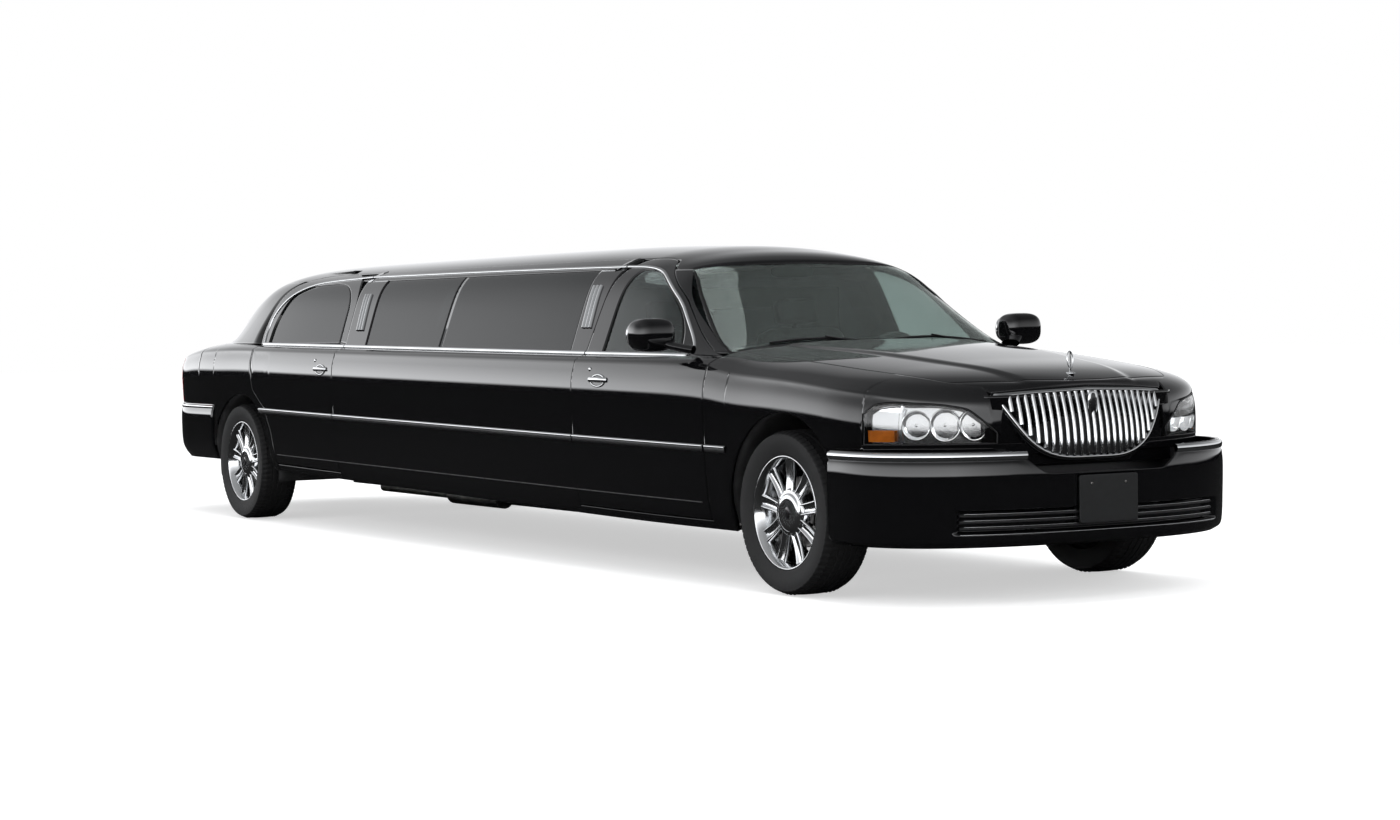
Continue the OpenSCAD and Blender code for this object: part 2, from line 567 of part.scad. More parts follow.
module lamp_shape() polygon([
    [lamp_end, lamp_low], [nose_end + 60, lamp_low], [nose_end + 60, 792], [xf + 830, 800],
    [xf + 700, 826], [xf + 590, 822], [lamp_end, 780]]);
lamp_thick = 90;
module headlights() color("#dfe6ea") for (s = [0, 1]) mirror([0, s, 0]) difference() {
    intersection() {
        side_skin(concat([for (d = [500, 600, 700]) xf + d], nose_stations), 4, crown - 2,
            lamp_thick);
        side_cut() offset(delta = -panel_gap / 2) lamp_shape();
    }
    translate([xf, -grille_top_width / 2 - 14, 0]) cube([over, grille_top_width + 28, over]);
}

tail_lamp_front = tail_end + 330;
module tail_light_zone(gap)
    translate([tail_end - 60, lid_side + 3 - gap, rear_bumper_top + panel_gap - gap])
        cube([tail_lamp_front + gap - tail_end + 60, 400, 990 - rear_bumper_top + 2 * gap]);
tail_lamp_thick = 30;
module tail_lights() color("#a01018") for (s = [0, 1]) mirror([0, s, 0]) intersection() {
    side_skin(tail_stations, 3, crown - 2, tail_lamp_thick);
    tail_light_zone(0);
}

// ---- structure ----

steel = "#3a3c40";
rail_y = 430;
rail_w = 64;
rail_h = 90;
spindle_z = tyre_radius;
rail_low = floor_height - rail_h - sliver;
module frame_rail(side) translate([0, side * rail_y + rail_w / 2, 0]) rotate([90, 0, 0])
    linear_extrude(rail_w) polygon([
        [nose_end - 90, spindle_z + 25], [nose_end - 90, spindle_z + 25 + rail_h],
        [xf - 430, spindle_z + 25 + rail_h], [xf - 640, rail_low + rail_h],
        [xr + 640, rail_low + rail_h], [xr + 400, spindle_z + 190 + rail_h],
        [xr - 420, spindle_z + 190 + rail_h], [xr - 640, spindle_z + 80 + rail_h],
        [tail_end + 70, spindle_z + 80 + rail_h], [tail_end + 70, spindle_z + 80],
        [xr - 660, spindle_z + 80], [xr - 440, spindle_z + 190], [xr + 360, spindle_z + 190],
        [xr + 610, rail_low], [xf - 620, rail_low], [xf - 420, spindle_z + 25]]);
module cross_member(x, z, wide = 2 * rail_y - rail_w) translate([x - 35, -wide / 2, z])
    cube([70, wide, 60]);
module frame_rails() color(steel) for (s = [-1, 1]) frame_rail(s);
module cross_members() color(steel) {
    cross_member(nose_end - 130, spindle_z + 40);
    cross_member(xf - 700, rail_low + 10);
    for (k = [1:4]) cross_member(xf - 700 - k * (wheelbase - 1360) / 5, rail_low + 10);
    cross_member(xr + 660, rail_low + 10);
    cross_member(xr - 700, spindle_z + 95);
    cross_member(tail_end + 110, spindle_z + 95);
}

floor_half = half_body - door_thick - 72;
firewall_x = fd_front + 10;
rail_holes = 5;                                  // room round the rails where they pass the floor
module rail_notches(x) for (s = [-1, 1]) translate([x, s * rail_y - rail_w / 2 - rail_holes, 0])
    cube([200, rail_w + 2 * rail_holes, spindle_z + rail_h + 40]);
module floor_pan() color(steel) difference() {
    translate([xr + 600, -floor_half, floor_height])
        cube([firewall_x - xr - 600, 2 * floor_half, floor_thick]);
    rail_notches(xf - 665);
    rail_notches(xr + 590 - 130);
}
module firewall() color(steel) difference() {
    translate([firewall_x, -680, floor_height]) cube([14, 1360, 900 - floor_height]);
    rail_notches(xf - 665);
}
heel_x = xr + 586;
module heel_board() color(steel)
    translate([heel_x, -rail_y + rail_w, floor_height]) cube([14, 2 * (rail_y - rail_w), 380]);
module boot_floor() color(steel)
    translate([tail_end + 90, -rail_y - 40, spindle_z + 82 + rail_h + 120])
        cube([heel_x - tail_end - 90, 2 * rail_y + 80, floor_thick]);

module engine() color("#55585c")
    translate([xf - 440, -260, 330]) cube([760, 520, 520]);

kingpin_in = 112;                                // distance of the steering pin inside the wheel's middle
module front_suspension() color(steel) for (s = [-1, 1]) mirror([0, s < 0 ? 1 : 0, 0]) {
    hull() {
        translate([xf, front_track / 2 - kingpin_in, spindle_z - 142]) cylinder(h = 24, r = 28);
        translate([xf - 150, rail_y + 30, spindle_z - 142]) cube([300, 20, 24]);
    }
    translate([xf - 150, rail_y - 20, spindle_z - 142]) cube([300, 52, 142 + 25 - sliver]);
    hull() {
        translate([xf, front_track / 2 - kingpin_in, spindle_z + 115 + sliver]) cylinder(h = 20, r = 24);
        translate([xf - 90, rail_y - 20, spindle_z + 115 + sliver]) cube([180, 70, 20]);
    }
}

module wheel_knuckle(side) color("#6c7076") {
    kingpin = side * (front_track / 2 - kingpin_in);
    translate([xf, kingpin, spindle_z - 112]) cylinder(h = 222, r = 24);
    translate([xf, kingpin, spindle_z]) rotate([-90 * side, 0, 0])
        cylinder(h = kingpin_in + 16, r = hub_bore - hub_clear);
}

module rear_axle() color(steel) {
    translate([xr, -rear_track / 2 - 16, spindle_z]) rotate([-90, 0, 0])
        cylinder(h = rear_track + 32, r = hub_bore - hub_clear);
    translate([xr, -rear_track / 2 + 130, spindle_z]) rotate([-90, 0, 0])
        cylinder(h = rear_track - 260, r = 48);
    translate([xr, 0, spindle_z]) rotate([0, 90, 0]) cylinder(h = 220, r = 110, center = true);
    for (s = [-1, 1]) translate([xr - 60, s * rail_y - 30, spindle_z + 40]) cube([120, 60, 149.5]);
    translate([xr + 100, 0, spindle_z]) rotate([0, 90, 0]) cylinder(h = 260, r = 40);
}

exhaust_z = 200;
module exhaust() color("#8c8f92") for (s = [-1, 1]) {
    translate([xr + 700, s * 300, exhaust_z]) rotate([0, 90, 0]) cylinder(h = wheelbase - 1200, r = 28);
    translate([xr + 1660, s * 300, exhaust_z]) rotate([0, 90, 0]) cylinder(h = 620, r = 54);
}

module fuel_tank() color("#2c2e31")
    translate([tail_end + 190, -rail_y + rail_w / 2 + 20, spindle_z - 90])
        cube([520, 2 * rail_y - rail_w - 40, 180]);

// ---- cabin ----

dash_rear = fd_front - 300;
module dashboard() color("#2e2b29") {
    translate([dash_rear, 0, 0]) rotate([90, 0, 0]) translate([0, 0, -floor_half + 40])
        linear_extrude(2 * floor_half - 80) polygon([
            [0, 700], [0, 850], [60, 930], [firewall_x - dash_rear - sliver, 930],
            [firewall_x - dash_rear - sliver, 640], [90, 640]]);
    steering_place() translate([0, 0, 32]) cylinder(h = 184, r = 32);
}

// Places a piece on the steering column, which points down and forward
steering_x = dash_rear - 160;
steering_y = 370;
steering_z = 930;
column_tilt = 28;                                // degrees that the column falls towards the front
module steering_place() translate([steering_x, steering_y, steering_z]) rotate([0, 90 + column_tilt, 0]) children();
wheel_grip = 15;
module steering_wheel() color("#1b1b1c") steering_place() {
    rotate_extrude() translate([steering_wheel_d / 2 - wheel_grip, 0]) circle(wheel_grip);
    cylinder(h = 24, r = 62);
    for (a = [0, 120, 240]) rotate([0, 0, a + 60]) translate([50, -18, -8])
        cube([steering_wheel_d / 2 - wheel_grip - 52, 36, 16]);
}

trim = "#26282b";
// One seat: a cushion, a backrest leaning back, and its base
module seat(x, y, wide, headrest = true) translate([x, y - wide / 2, 0]) {
    top = floor_height + floor_thick + seat_height;
    translate([-seat_depth / 2 + 30, 40, floor_height + floor_thick])
        cube([seat_depth - 120, wide - 80, seat_height - cushion_thick]);
    translate([-seat_depth / 2, 0, top - cushion_thick]) cube([seat_depth, wide, cushion_thick]);
    translate([-seat_depth / 2, 0, top]) rotate([0, -14, 0]) translate([-backrest_thick + 40, 0, 0]) {
        cube([backrest_thick, wide, backrest_height]);
        if (headrest) translate([20, wide / 2 - 130, backrest_height]) cube([90, 260, 150]);
    }
}
front_seat_x = fd_front - 800;
module front_seats() color(trim) for (s = [-1, 1]) seat(front_seat_x, s * 370, front_seat_width);

partition_x = fd_rear - 195;
module partition() color(trim) difference() {
    translate([partition_x, -floor_half + 30, floor_height + floor_thick])
        cube([40, 2 * floor_half - 60, 1330 - floor_height - floor_thick]);
    translate([partition_x - 10, -420, 900]) cube([60, 840, 330]);
    for (s = [-1, 1]) translate([partition_x - 10, s * (floor_half + 54) - 200, 1050])
        cube([60, 400, 400]);
}

bench_front = xr + 750 + seat_depth;
module saloon_seats() color(trim) {
    seat(bench_front - seat_depth / 2, 0, 2 * floor_half - 120, false);
    side_bench();
}
side_bench_depth = 480;
module side_bench() {
    x0 = rd_front + 60;
    x1 = partition_x - 620;
    top = floor_height + floor_thick + seat_height;
    translate([x0, -floor_half + 25, floor_height + floor_thick])
        cube([x1 - x0, side_bench_depth - 60, seat_height - cushion_thick]);
    translate([x0, -floor_half + 25, top - cushion_thick])
        cube([x1 - x0, side_bench_depth, cushion_thick]);
    translate([x0, -floor_half + 25, top]) cube([x1 - x0, 110, 340]);
}

module bar_cabinet() color("#3b2a1e") {
    x0 = rd_front + 500;
    x1 = partition_x - 500;
    translate([x0, floor_half - 345, floor_height + floor_thick]) cube([x1 - x0, 320, 520]);
    translate([x0 - 15, floor_half - 360, floor_height + floor_thick + 520])
        cube([x1 - x0 + 30, 335, 28]);
}

// ---- mirrors ----

mirror_x = xf - 780;
module door_mirror(side) color(paint) mirror([0, side > 0 ? 0 : 1, 0]) {
    hull() for (dy = [110, 240], dz = [70, 125])
        translate([mirror_x, belt_y(mirror_x) + dy, belt_height + dz]) sphere(r = 46, $fn = 14);
    hull() {
        translate([mirror_x - 40, belt_y(mirror_x) + 1, belt_height + 12]) cube([100, 10, 40]);
        translate([mirror_x - 15, belt_y(mirror_x) + 100, belt_height + 50]) cube([40, 10, 30]);
    }
}

// ---- wheels ----

sidewall = tyre_radius - rim_radius;
module tyre(x, y) color("#17181a") translate([x, y, spindle_z]) rotate([90, 0, 0]) rotate_extrude($fn = 72)
    polygon([
        [rim_radius, -tyre_width / 2 + 14], [rim_radius + sidewall * 0.25, -tyre_width / 2 + 3],
        [rim_radius + sidewall * 0.55, -tyre_width / 2], [tyre_radius - 26, -tyre_width / 2 + 7],
        [tyre_radius - 7, -tyre_width / 2 + 24], [tyre_radius, -tyre_width / 2 + 48],
        [tyre_radius, tyre_width / 2 - 48], [tyre_radius - 7, tyre_width / 2 - 24],
        [tyre_radius - 26, tyre_width / 2 - 7], [rim_radius + sidewall * 0.55, tyre_width / 2],
        [rim_radius + sidewall * 0.25, tyre_width / 2 - 3], [rim_radius, tyre_width / 2 - 14]]);

rim_wall = 12;
face_depth = 26;                                 // how far the spokes lie inside the rim's outer edge
module rim(x, y, side) color("#cfd2d5") translate([x, y, spindle_z]) rotate([-90 * side, 0, 0]) {
    half = tyre_width / 2 - 14;
    rotate_extrude($fn = 72) polygon([
        [rim_radius - sliver, -half], [rim_radius - sliver, half], [rim_radius - rim_wall, half],
        [rim_radius - rim_wall - 14, half - 16], [rim_radius - rim_wall - 14, -half]]);
    translate([0, 0, half - face_depth - 70]) difference() {
        cylinder(h = 72, r = 72);
        translate([0, 0, -1]) cylinder(h = 62, r = hub_bore);
    }
    for (i = [0:spokes - 1]) rotate([0, 0, i * 360 / spokes])
        translate([0, 0, half - face_depth - 26]) linear_extrude(26) polygon([
            [52, -14], [rim_radius - rim_wall - 4, -24], [rim_radius - rim_wall - 4, 24], [52, 14]]);
}

frame_rails();
cross_members();
floor_pan();
firewall();
heel_board();
boot_floor();
cowl();
front_fenders();
side_panels();
quarter_panels();
roof();
windscreen();
rear_window();
side_windows();
front_bumper();
rear_bumper();
plate_holders();
grille();
headlights();
tail_lights();
dashboard();
front_seats();
partition();
saloon_seats();
bar_cabinet();
engine();
front_suspension();
rear_axle();
exhaust();
fuel_tank();
hood();
boot_lid();
front_door(1);  // front_door_left
front_door(-1);  // front_door_right
rear_door(1);  // rear_door_left
rear_door(-1);  // rear_door_right
front_glass(1);  // front_glass_left
front_glass(-1);  // front_glass_right
rear_glass(1);  // rear_glass_left
rear_glass(-1);  // rear_glass_right
door_mirror(1);  // mirror_left
door_mirror(-1);  // mirror_right
steering_wheel();
wheel_knuckle(1);  // knuckle_left
wheel_knuckle(-1);  // knuckle_right
tyre(xf, front_track / 2);  // tyre_front_left
tyre(xf, -front_track / 2);  // tyre_front_right
tyre(xr, rear_track / 2);  // tyre_rear_left
tyre(xr, -rear_track / 2);  // tyre_rear_right
rim(xf, front_track / 2, 1);  // rim_front_left
rim(xf, -front_track / 2, -1);  // rim_front_right
rim(xr, rear_track / 2, 1);  // rim_rear_left
rim(xr, -rear_track / 2, -1);  // rim_rear_right
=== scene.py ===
# %% [markdown]
# # A stretch limousine in gloss black
# The construction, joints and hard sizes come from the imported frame. This lesson adds what the eye sees:
# smooth painted panels, bright trim, lamps, wheels and a trimmed cabin. Every panel is a surface worked
# out from the same body lines, so neighbouring panels flow into each other.

# %% Load the frame
import math

import bpy
import numpy as np
from mathutils import Matrix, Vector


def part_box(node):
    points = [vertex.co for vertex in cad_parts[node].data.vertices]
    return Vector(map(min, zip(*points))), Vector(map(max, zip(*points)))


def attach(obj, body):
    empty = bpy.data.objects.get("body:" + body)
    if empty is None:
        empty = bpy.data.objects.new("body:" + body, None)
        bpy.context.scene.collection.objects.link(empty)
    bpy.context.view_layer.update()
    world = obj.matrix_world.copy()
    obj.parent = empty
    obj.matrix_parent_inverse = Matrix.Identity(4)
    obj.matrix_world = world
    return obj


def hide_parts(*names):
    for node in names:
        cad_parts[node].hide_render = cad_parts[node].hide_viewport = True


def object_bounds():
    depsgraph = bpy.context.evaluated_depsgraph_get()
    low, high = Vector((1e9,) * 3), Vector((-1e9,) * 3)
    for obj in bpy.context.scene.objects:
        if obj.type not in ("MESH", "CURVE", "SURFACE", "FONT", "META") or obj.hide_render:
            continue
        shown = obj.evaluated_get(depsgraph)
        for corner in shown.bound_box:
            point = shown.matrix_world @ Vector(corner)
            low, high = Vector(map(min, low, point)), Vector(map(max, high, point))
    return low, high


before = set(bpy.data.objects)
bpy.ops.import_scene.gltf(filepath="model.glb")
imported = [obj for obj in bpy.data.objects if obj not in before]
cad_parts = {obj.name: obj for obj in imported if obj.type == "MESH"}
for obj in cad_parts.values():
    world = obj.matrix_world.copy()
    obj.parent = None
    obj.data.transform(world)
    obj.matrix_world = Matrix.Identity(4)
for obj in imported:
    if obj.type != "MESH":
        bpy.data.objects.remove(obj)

cad_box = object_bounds()
MM = 0.001                      # the body lines are written in millimetres
LEFT, RIGHT = 1, -1
SIDES = {LEFT: "left", RIGHT: "right"}
print("frame:", len(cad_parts), "nodes")

# %% [markdown]
# ## Driving places
# The axles, the wheel height, the roof height and the ends are read from the frame, so the looks follow the
# construction;
# the half width is given. Everything else along the car is measured from the front or the rear axle.

# %% Places read from the frame
def box_mm(node):
    """A node's lowest and highest corners in millimetres."""
    low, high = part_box(node)
    return np.array(low) / MM, np.array(high) / MM

XF = float(np.mean([corner[0] for corner in box_mm("tyre_front_right")]))
XR = float(np.mean([corner[0] for corner in box_mm("tyre_rear_right")]))
SPINDLE = float(np.mean([corner[2] for corner in box_mm("tyre_front_right")]))
ROOF = float(box_mm("roof")[1][2])
FRONT_END = float(cad_box[1][0]) / MM
REAR_END = float(cad_box[0][0]) / MM
HALF = 978.0                    # half width over the doors
BELT = 1010.0                   # height of the belt line at the front door
NOSE_END, TAIL_END = FRONT_END - 118, REAR_END + 65
NOSE_START, TAIL_START = XF + 300, XR - 912
NOSE_LENGTH, NOSE_POWER = NOSE_END - NOSE_START, 2.6
FD_FRONT, FD_REAR = XF - 580, XF - 1735
RD_REAR = XR + 305
RD_FRONT = RD_REAR + 1179
print("axles at", round(XF), round(XR), "roof", round(ROOF))

# %% [markdown]
# ## Body lines
# A car's body is drawn as a few long lines: the sill, the shoulder, the crown of hood and deck, the belt
# and the roof. Each is a smooth cubic through chosen points. A spline object could hold them too, but as
# functions they can be asked for any place along the car.

# %% Smooth lines along the car
def curve(points):
    """Cubic through the points: each span blends its ends, sloped like the line through its neighbours."""
    x, v = np.array(sorted(points), float).T
    slope = np.empty(len(x))
    slope[1:-1] = (v[2:] - v[:-2]) / (x[2:] - x[:-2])
    slope[0], slope[-1] = (v[1] - v[0]) / (x[1] - x[0]), (v[-1] - v[-2]) / (x[-1] - x[-2])

    def at(q):
        """Value of the line at q, held level past its ends."""
        q = np.clip(np.asarray(q, float), x[0], x[-1])
        i = np.clip(np.searchsorted(x, q, side="right") - 1, 0, len(x) - 2)
        h = x[i + 1] - x[i]
        u = (q - x[i]) / h
        return ((2 * u**3 - 3 * u**2 + 1) * v[i] + (u**3 - 2 * u**2 + u) * h * slope[i]
                + (3 * u**2 - 2 * u**3) * v[i + 1] + (u**3 - u**2) * h * slope[i + 1])
    return at

def along(rear, front, base=0.0, gain=1.0):
    """Points measured from the rear axle, then from the front axle, as one line along the car."""
    return curve([(XR + p, base + gain * v) for p, v in rear] + [(XF + p, base + gain * v) for p, v in front])

inset = along([(-1372, 90), (-1080, 62), (-700, 30), (-400, 18), (0, 13), (600, 3), (1500, 0)],
              [(-1700, 0), (-900, 16), (-300, 40), (0, 46), (300, 54), (600, 75), (930, 110)])
shoulder = along([(-1372, -85), (-1100, -45), (-700, -5), (-300, 8), (0, 11), (600, 6)],
                 [(-1700, -34), (-900, -46), (-600, -60), (-347, -90), (100, -117), (552, -160),
                  (800, -198), (930, -230)], BELT)
crown = along([(-1372, -55), (-1290, -10), (-1100, 38), (-900, 68), (-700, 90), (-400, 108), (0, 112),
               (600, 106)],
              [(-1700, 66), (-700, 73), (-430, 52), (0, 20), (400, -25), (700, -65), (880, -117),
               (930, -160)], BELT)
sill = along([(-1372, 460), (-1080, 440), (-381, 333), (0, 320), (600, 315)],
             [(-1315, 255), (-366, 248), (0, 245), (400, 245), (900, 241)])
belt = along([(-700, 58), (0, 55), (600, 49)], [(-1700, 8), (-824, 0), (-500, -5)], BELT)
belt_inset = along([(-700, 218), (-500, 178), (-260, 128), (338, 93), (1400, 85)],
                   [(-1400, 85), (-900, 103), (-600, 128), (-500, 133)])
roof_line = along([(-690, 0.096), (-600, 0.19), (-300, 0.69), (-100, 0.88), (60, 0.94), (338, 0.97),
                   (1238, 0.987)],
                  [(-2400, 1), (-1627, 0.967), (-1400, 0.923), (-1190, 0.835), (-1050, 0.65),
                   (-700, 0.186), (-560, 0)], BELT + 20, ROOF - BELT - 20)
tuck = curve([(0, 62), (0.08, 40), (0.16, 27), (0.33, 14), (0.51, 6), (0.7, 1), (0.82, 0), (0.92, 6),
              (1, 22)])
CROWN_POWER, LEAN, ROUND = 2.3, 0.25, 8

def roof_z(share):
    """Height at a share of the way from the belt to the roof."""
    return BELT + share * (ROOF - BELT)

def closing(x):
    """Share of the full width left near the ends: superellipses towards the nose and the tail."""
    nose = np.clip((x - NOSE_START) / NOSE_LENGTH, 0, 1)
    tail = np.clip((TAIL_START - x) / (TAIL_START - TAIL_END), 0, 1)
    return (1 - nose**NOSE_POWER) ** (1 / NOSE_POWER) * (1 - tail**3) ** (1 / 3)
print(f"belt {BELT:.0f} mm, sill at the front axle {float(sill(XF)):.0f} mm")

# %% [markdown]
# ## Two body surfaces
# The lower body is one surface of two parameters: the place along the car, and a girth that climbs the
# side from 0 to 1 and then crosses the crown from 1 to 2. The greenhouse is a second one. All panels,
# glass and trim are cut from these two, which is what keeps their highlights unbroken over the gaps.

# %% Lower body and greenhouse
def side_width(x, z):
    """Half width of the side at a height: full width less the inset and the tuck, times the closing."""
    u = np.clip((z - sill(x)) / (shoulder(x) - sill(x)), 0, 1)
    return (HALF - inset(x) - tuck(u)) * closing(x)

def skin(x, q):
    """Lower body. Girth 0-1 runs up the side; 1-2 follows a superellipse from the shoulder to the middle."""
    x, q = np.broadcast_arrays(np.asarray(x, float), np.asarray(q, float))
    u, a = np.clip(q, 0, 1), np.clip(q - 1, 0, 1) * math.pi / 2
    out = (HALF - inset(x) - tuck(u)) * closing(x)
    y = out * np.abs(np.cos(a)) ** (2 / CROWN_POWER)
    z = sill(x) + u * (shoulder(x) - sill(x)) + (crown(x) - shoulder(x)) * np.sin(a) ** (2 / CROWN_POWER)
    return np.stack([x, y, z], -1)

def girth_at_height(x, z):
    """Girth where the lower body reaches a height."""
    side = (z - sill(x)) / (shoulder(x) - sill(x))
    rise = np.clip((z - shoulder(x)) / (crown(x) - shoulder(x)), 0, 1)
    return np.where(z <= shoulder(x), np.clip(side, 0, 1),
                    1 + 2 / math.pi * np.arcsin(rise ** (CROWN_POWER / 2)))

def girth_at_width(x, y):
    """Girth on the crown where the half width has shrunk to y."""
    out = np.maximum((HALF - inset(x) - tuck(1)) * closing(x), 1)
    return 1 + 2 / math.pi * np.arccos(np.clip(np.abs(y) / out, 0, 1) ** (CROWN_POWER / 2))

def belt_width(x):
    """Half width of the greenhouse at the belt."""
    return HALF - belt_inset(x)

def belt_girth(x):
    """Girth of the lower body where it meets the greenhouse."""
    return girth_at_width(x, belt_width(x))

def house_width(x, z):
    """Half width of the greenhouse at a height: it leans in evenly and rounds over at the roof."""
    t = np.clip((z - belt(x)) / (roof_line(x) - belt(x)), 0, 1)
    return belt_width(x) * (1 - LEAN * t) * np.sqrt(1 - t**ROUND)

def house(x, z):
    """Point of the greenhouse's left side at a place along the car and a height."""
    x, z = np.broadcast_arrays(np.asarray(x, float), np.asarray(z, float))
    return np.stack([x, house_width(x, z), z], -1)

def house_over(x, b):
    """Greenhouse by an angle b from the middle: share of height is the fourth root of cos b."""
    x, b = np.broadcast_arrays(np.asarray(x, float), np.asarray(b, float))
    t = np.abs(np.cos(b)) ** 0.25
    y = belt_width(x) * (1 - LEAN * t) * np.sin(b)
    return np.stack([x, y, belt(x) + t * (roof_line(x) - belt(x))], -1)

def house_end(y, z, near, far):
    """Greenhouse by width and height: the place along the car is found by halving the span 40 times."""
    y, z = np.broadcast_arrays(np.abs(np.asarray(y, float)), np.asarray(z, float))
    near, far = np.full(y.shape, near), np.full(y.shape, far)
    for _ in range(40):
        middle = (near + far) / 2
        inside = house_width(middle, z) > y
        near, far = np.where(inside, middle, near), np.where(inside, far, middle)
    return near

def windscreen_x(y, z):
    """Place of the windscreen at a width and a height."""
    return house_end(y, z, XF - 2400, XF - 560)

def backlight_x(y, z):
    """Place of the rear window at a width and a height."""
    return house_end(y, z, XR + 900, XR - 690)

def top_height(x, y):
    """Height of the hood or deck over a point of the plan."""
    out = np.maximum((HALF - inset(x) - tuck(1)) * closing(x), 1)
    share = np.clip(np.abs(y) / out, 0, 1)
    return shoulder(x) + (crown(x) - shoulder(x)) * (1 - share**CROWN_POWER) ** (1 / CROWN_POWER)
print("two body surfaces defined")

# %% [markdown]
# ## Finishes
# Each finish is a small node tree on Object coordinates. Gloss paint gets a smooth clear coat; chrome a
# faint waviness; leather, carpet and rubber get their own grain. Noise changes the roughness a little on
# nearly every finish, because no real surface is evenly clean.

# %% Node helpers and the common finish recipe
FINISHES = {}

def finish(name, color, roughness, metallic=0.0, coat=0.0, grain=40.0, bump=0.02, spread=0.05,
           tone=0.12, specular=0.5, texture="noise", sheen=0.0):
    """Principled finish whose colour and roughness drift with a noise, and whose bump has a grain."""
    material = bpy.data.materials.new(name)
    material.use_nodes = True
    nodes, links = material.node_tree.nodes, material.node_tree.links
    shader = nodes["Principled BSDF"]
    for socket, value in (("Metallic", metallic), ("Coat Weight", coat), ("Coat Roughness", 0.03),
                          ("Specular IOR Level", specular), ("Sheen Weight", sheen)):
        shader.inputs[socket].default_value = value
    place = nodes.new("ShaderNodeTexCoord")
    drift = nodes.new("ShaderNodeTexNoise")
    drift.inputs["Scale"].default_value = grain * 0.08
    drift.inputs["Detail"].default_value = 4
    links.new(place.outputs["Object"], drift.inputs["Vector"])
    shade = nodes.new("ShaderNodeValToRGB")
    shade.color_ramp.elements[0].position, shade.color_ramp.elements[1].position = 0.3, 0.7
    shade.color_ramp.elements[0].color = (*[c * (1 - tone) for c in color[:3]], 1)
    shade.color_ramp.elements[1].color = (*[min(c * (1 + tone), 1) for c in color[:3]], 1)
    links.new(drift.outputs["Fac"], shade.inputs["Fac"])
    links.new(shade.outputs["Color"], shader.inputs["Base Color"])
    wear = nodes.new("ShaderNodeMapRange")
    wear.inputs["To Min"].default_value = max(roughness - spread, 0.0)
    wear.inputs["To Max"].default_value = roughness + spread
    links.new(drift.outputs["Fac"], wear.inputs["Value"])
    links.new(wear.outputs["Result"], shader.inputs["Roughness"])
    fine = nodes.new("ShaderNodeTexVoronoi" if texture == "cells" else "ShaderNodeTexNoise")
    fine.inputs["Scale"].default_value = grain
    links.new(place.outputs["Object"], fine.inputs["Vector"])
    relief = nodes.new("ShaderNodeBump")
    relief.inputs["Strength"].default_value = bump
    relief.inputs["Distance"].default_value = 0.002
    links.new(fine.outputs["Distance" if texture == "cells" else "Fac"], relief.inputs["Height"])
    links.new(relief.outputs["Normal"], shader.inputs["Normal"])
    FINISHES[name] = material
    return material
print("finish recipe defined")

# %% [markdown]
# The list sets each finish's colour, roughness, metal share and grain. Blacks differ mostly by roughness:
# paint is mirror-like, trim is satin and rubber is matt. Glass and lamp covers transmit light; a plain
# transparent shader would be quicker, but it would lose their reflections.

# %% Paint, bright work and dark trim
finish("gloss_black", (0.003, 0.003, 0.0035), 0.05, coat=0.8, grain=300, bump=0.0, spread=0.03, specular=0.3)
finish("chrome", (0.78, 0.79, 0.80), 0.07, metallic=1.0, grain=60, bump=0.01, spread=0.03, tone=0.03)
finish("wheel_chrome", (0.70, 0.71, 0.72), 0.13, metallic=1.0, grain=90, bump=0.02, spread=0.05, tone=0.05)
finish("rubber", (0.011, 0.011, 0.0115), 0.62, grain=900, bump=0.25, spread=0.1, tone=0.25, specular=0.35)
finish("black_plastic", (0.012, 0.012, 0.013), 0.42, grain=1400, bump=0.15, texture="cells")
finish("grey_plastic", (0.035, 0.035, 0.036), 0.5, grain=1400, bump=0.2, texture="cells")
finish("underbody", (0.022, 0.022, 0.023), 0.7, grain=160, bump=0.4, spread=0.12, tone=0.35)
finish("steel", (0.30, 0.29, 0.28), 0.38, metallic=1.0, grain=120, bump=0.15, spread=0.12, tone=0.25)
finish("engine_metal", (0.16, 0.16, 0.17), 0.5, metallic=0.7, grain=220, bump=0.4, tone=0.3)
finish("leather", (0.020, 0.019, 0.019), 0.48, grain=420, bump=0.35, texture="cells", sheen=0.1)
finish("cloth", (0.055, 0.060, 0.061), 0.9, grain=1300, bump=0.6, tone=0.3, sheen=0.3)
finish("carpet", (0.016, 0.016, 0.017), 0.95, grain=1600, bump=0.9, tone=0.4, sheen=0.3)
finish("amber", (0.85, 0.22, 0.015), 0.12, coat=0.8, grain=240, bump=0.1, texture="cells", tone=0.2)
finish("plate_black", (0.010, 0.0105, 0.011), 0.38, grain=700, bump=0.05)
finish("cap_black", (0.008, 0.008, 0.009), 0.2, coat=0.5, grain=200, bump=0.02)
finish("reflector", (0.86, 0.87, 0.88), 0.10, metallic=1.0, grain=70, bump=0.05, tone=0.05)

def clear(name, color, roughness, transmission, ior=1.45):
    """See-through finish: a coloured transmitting body, with faint dust in its roughness."""
    material = finish(name, color, roughness, grain=30, bump=0.0, spread=roughness * 0.5, tone=0.04)
    shader = material.node_tree.nodes["Principled BSDF"]
    shader.inputs["Transmission Weight"].default_value = transmission
    shader.inputs["IOR"].default_value = ior
    return material

clear("privacy_glass", (0.012, 0.015, 0.016), 0.0, 0.7)
clear("front_glass", (0.34, 0.41, 0.40), 0.0, 1.0)
clear("screen_glass", (0.55, 0.64, 0.61), 0.0, 1.0)
clear("lens", (0.97, 0.98, 0.99), 0.0, 1.0)
clear("red_lens", (0.60, 0.012, 0.012), 0.04, 0.35)
print(len(FINISHES), "finishes")

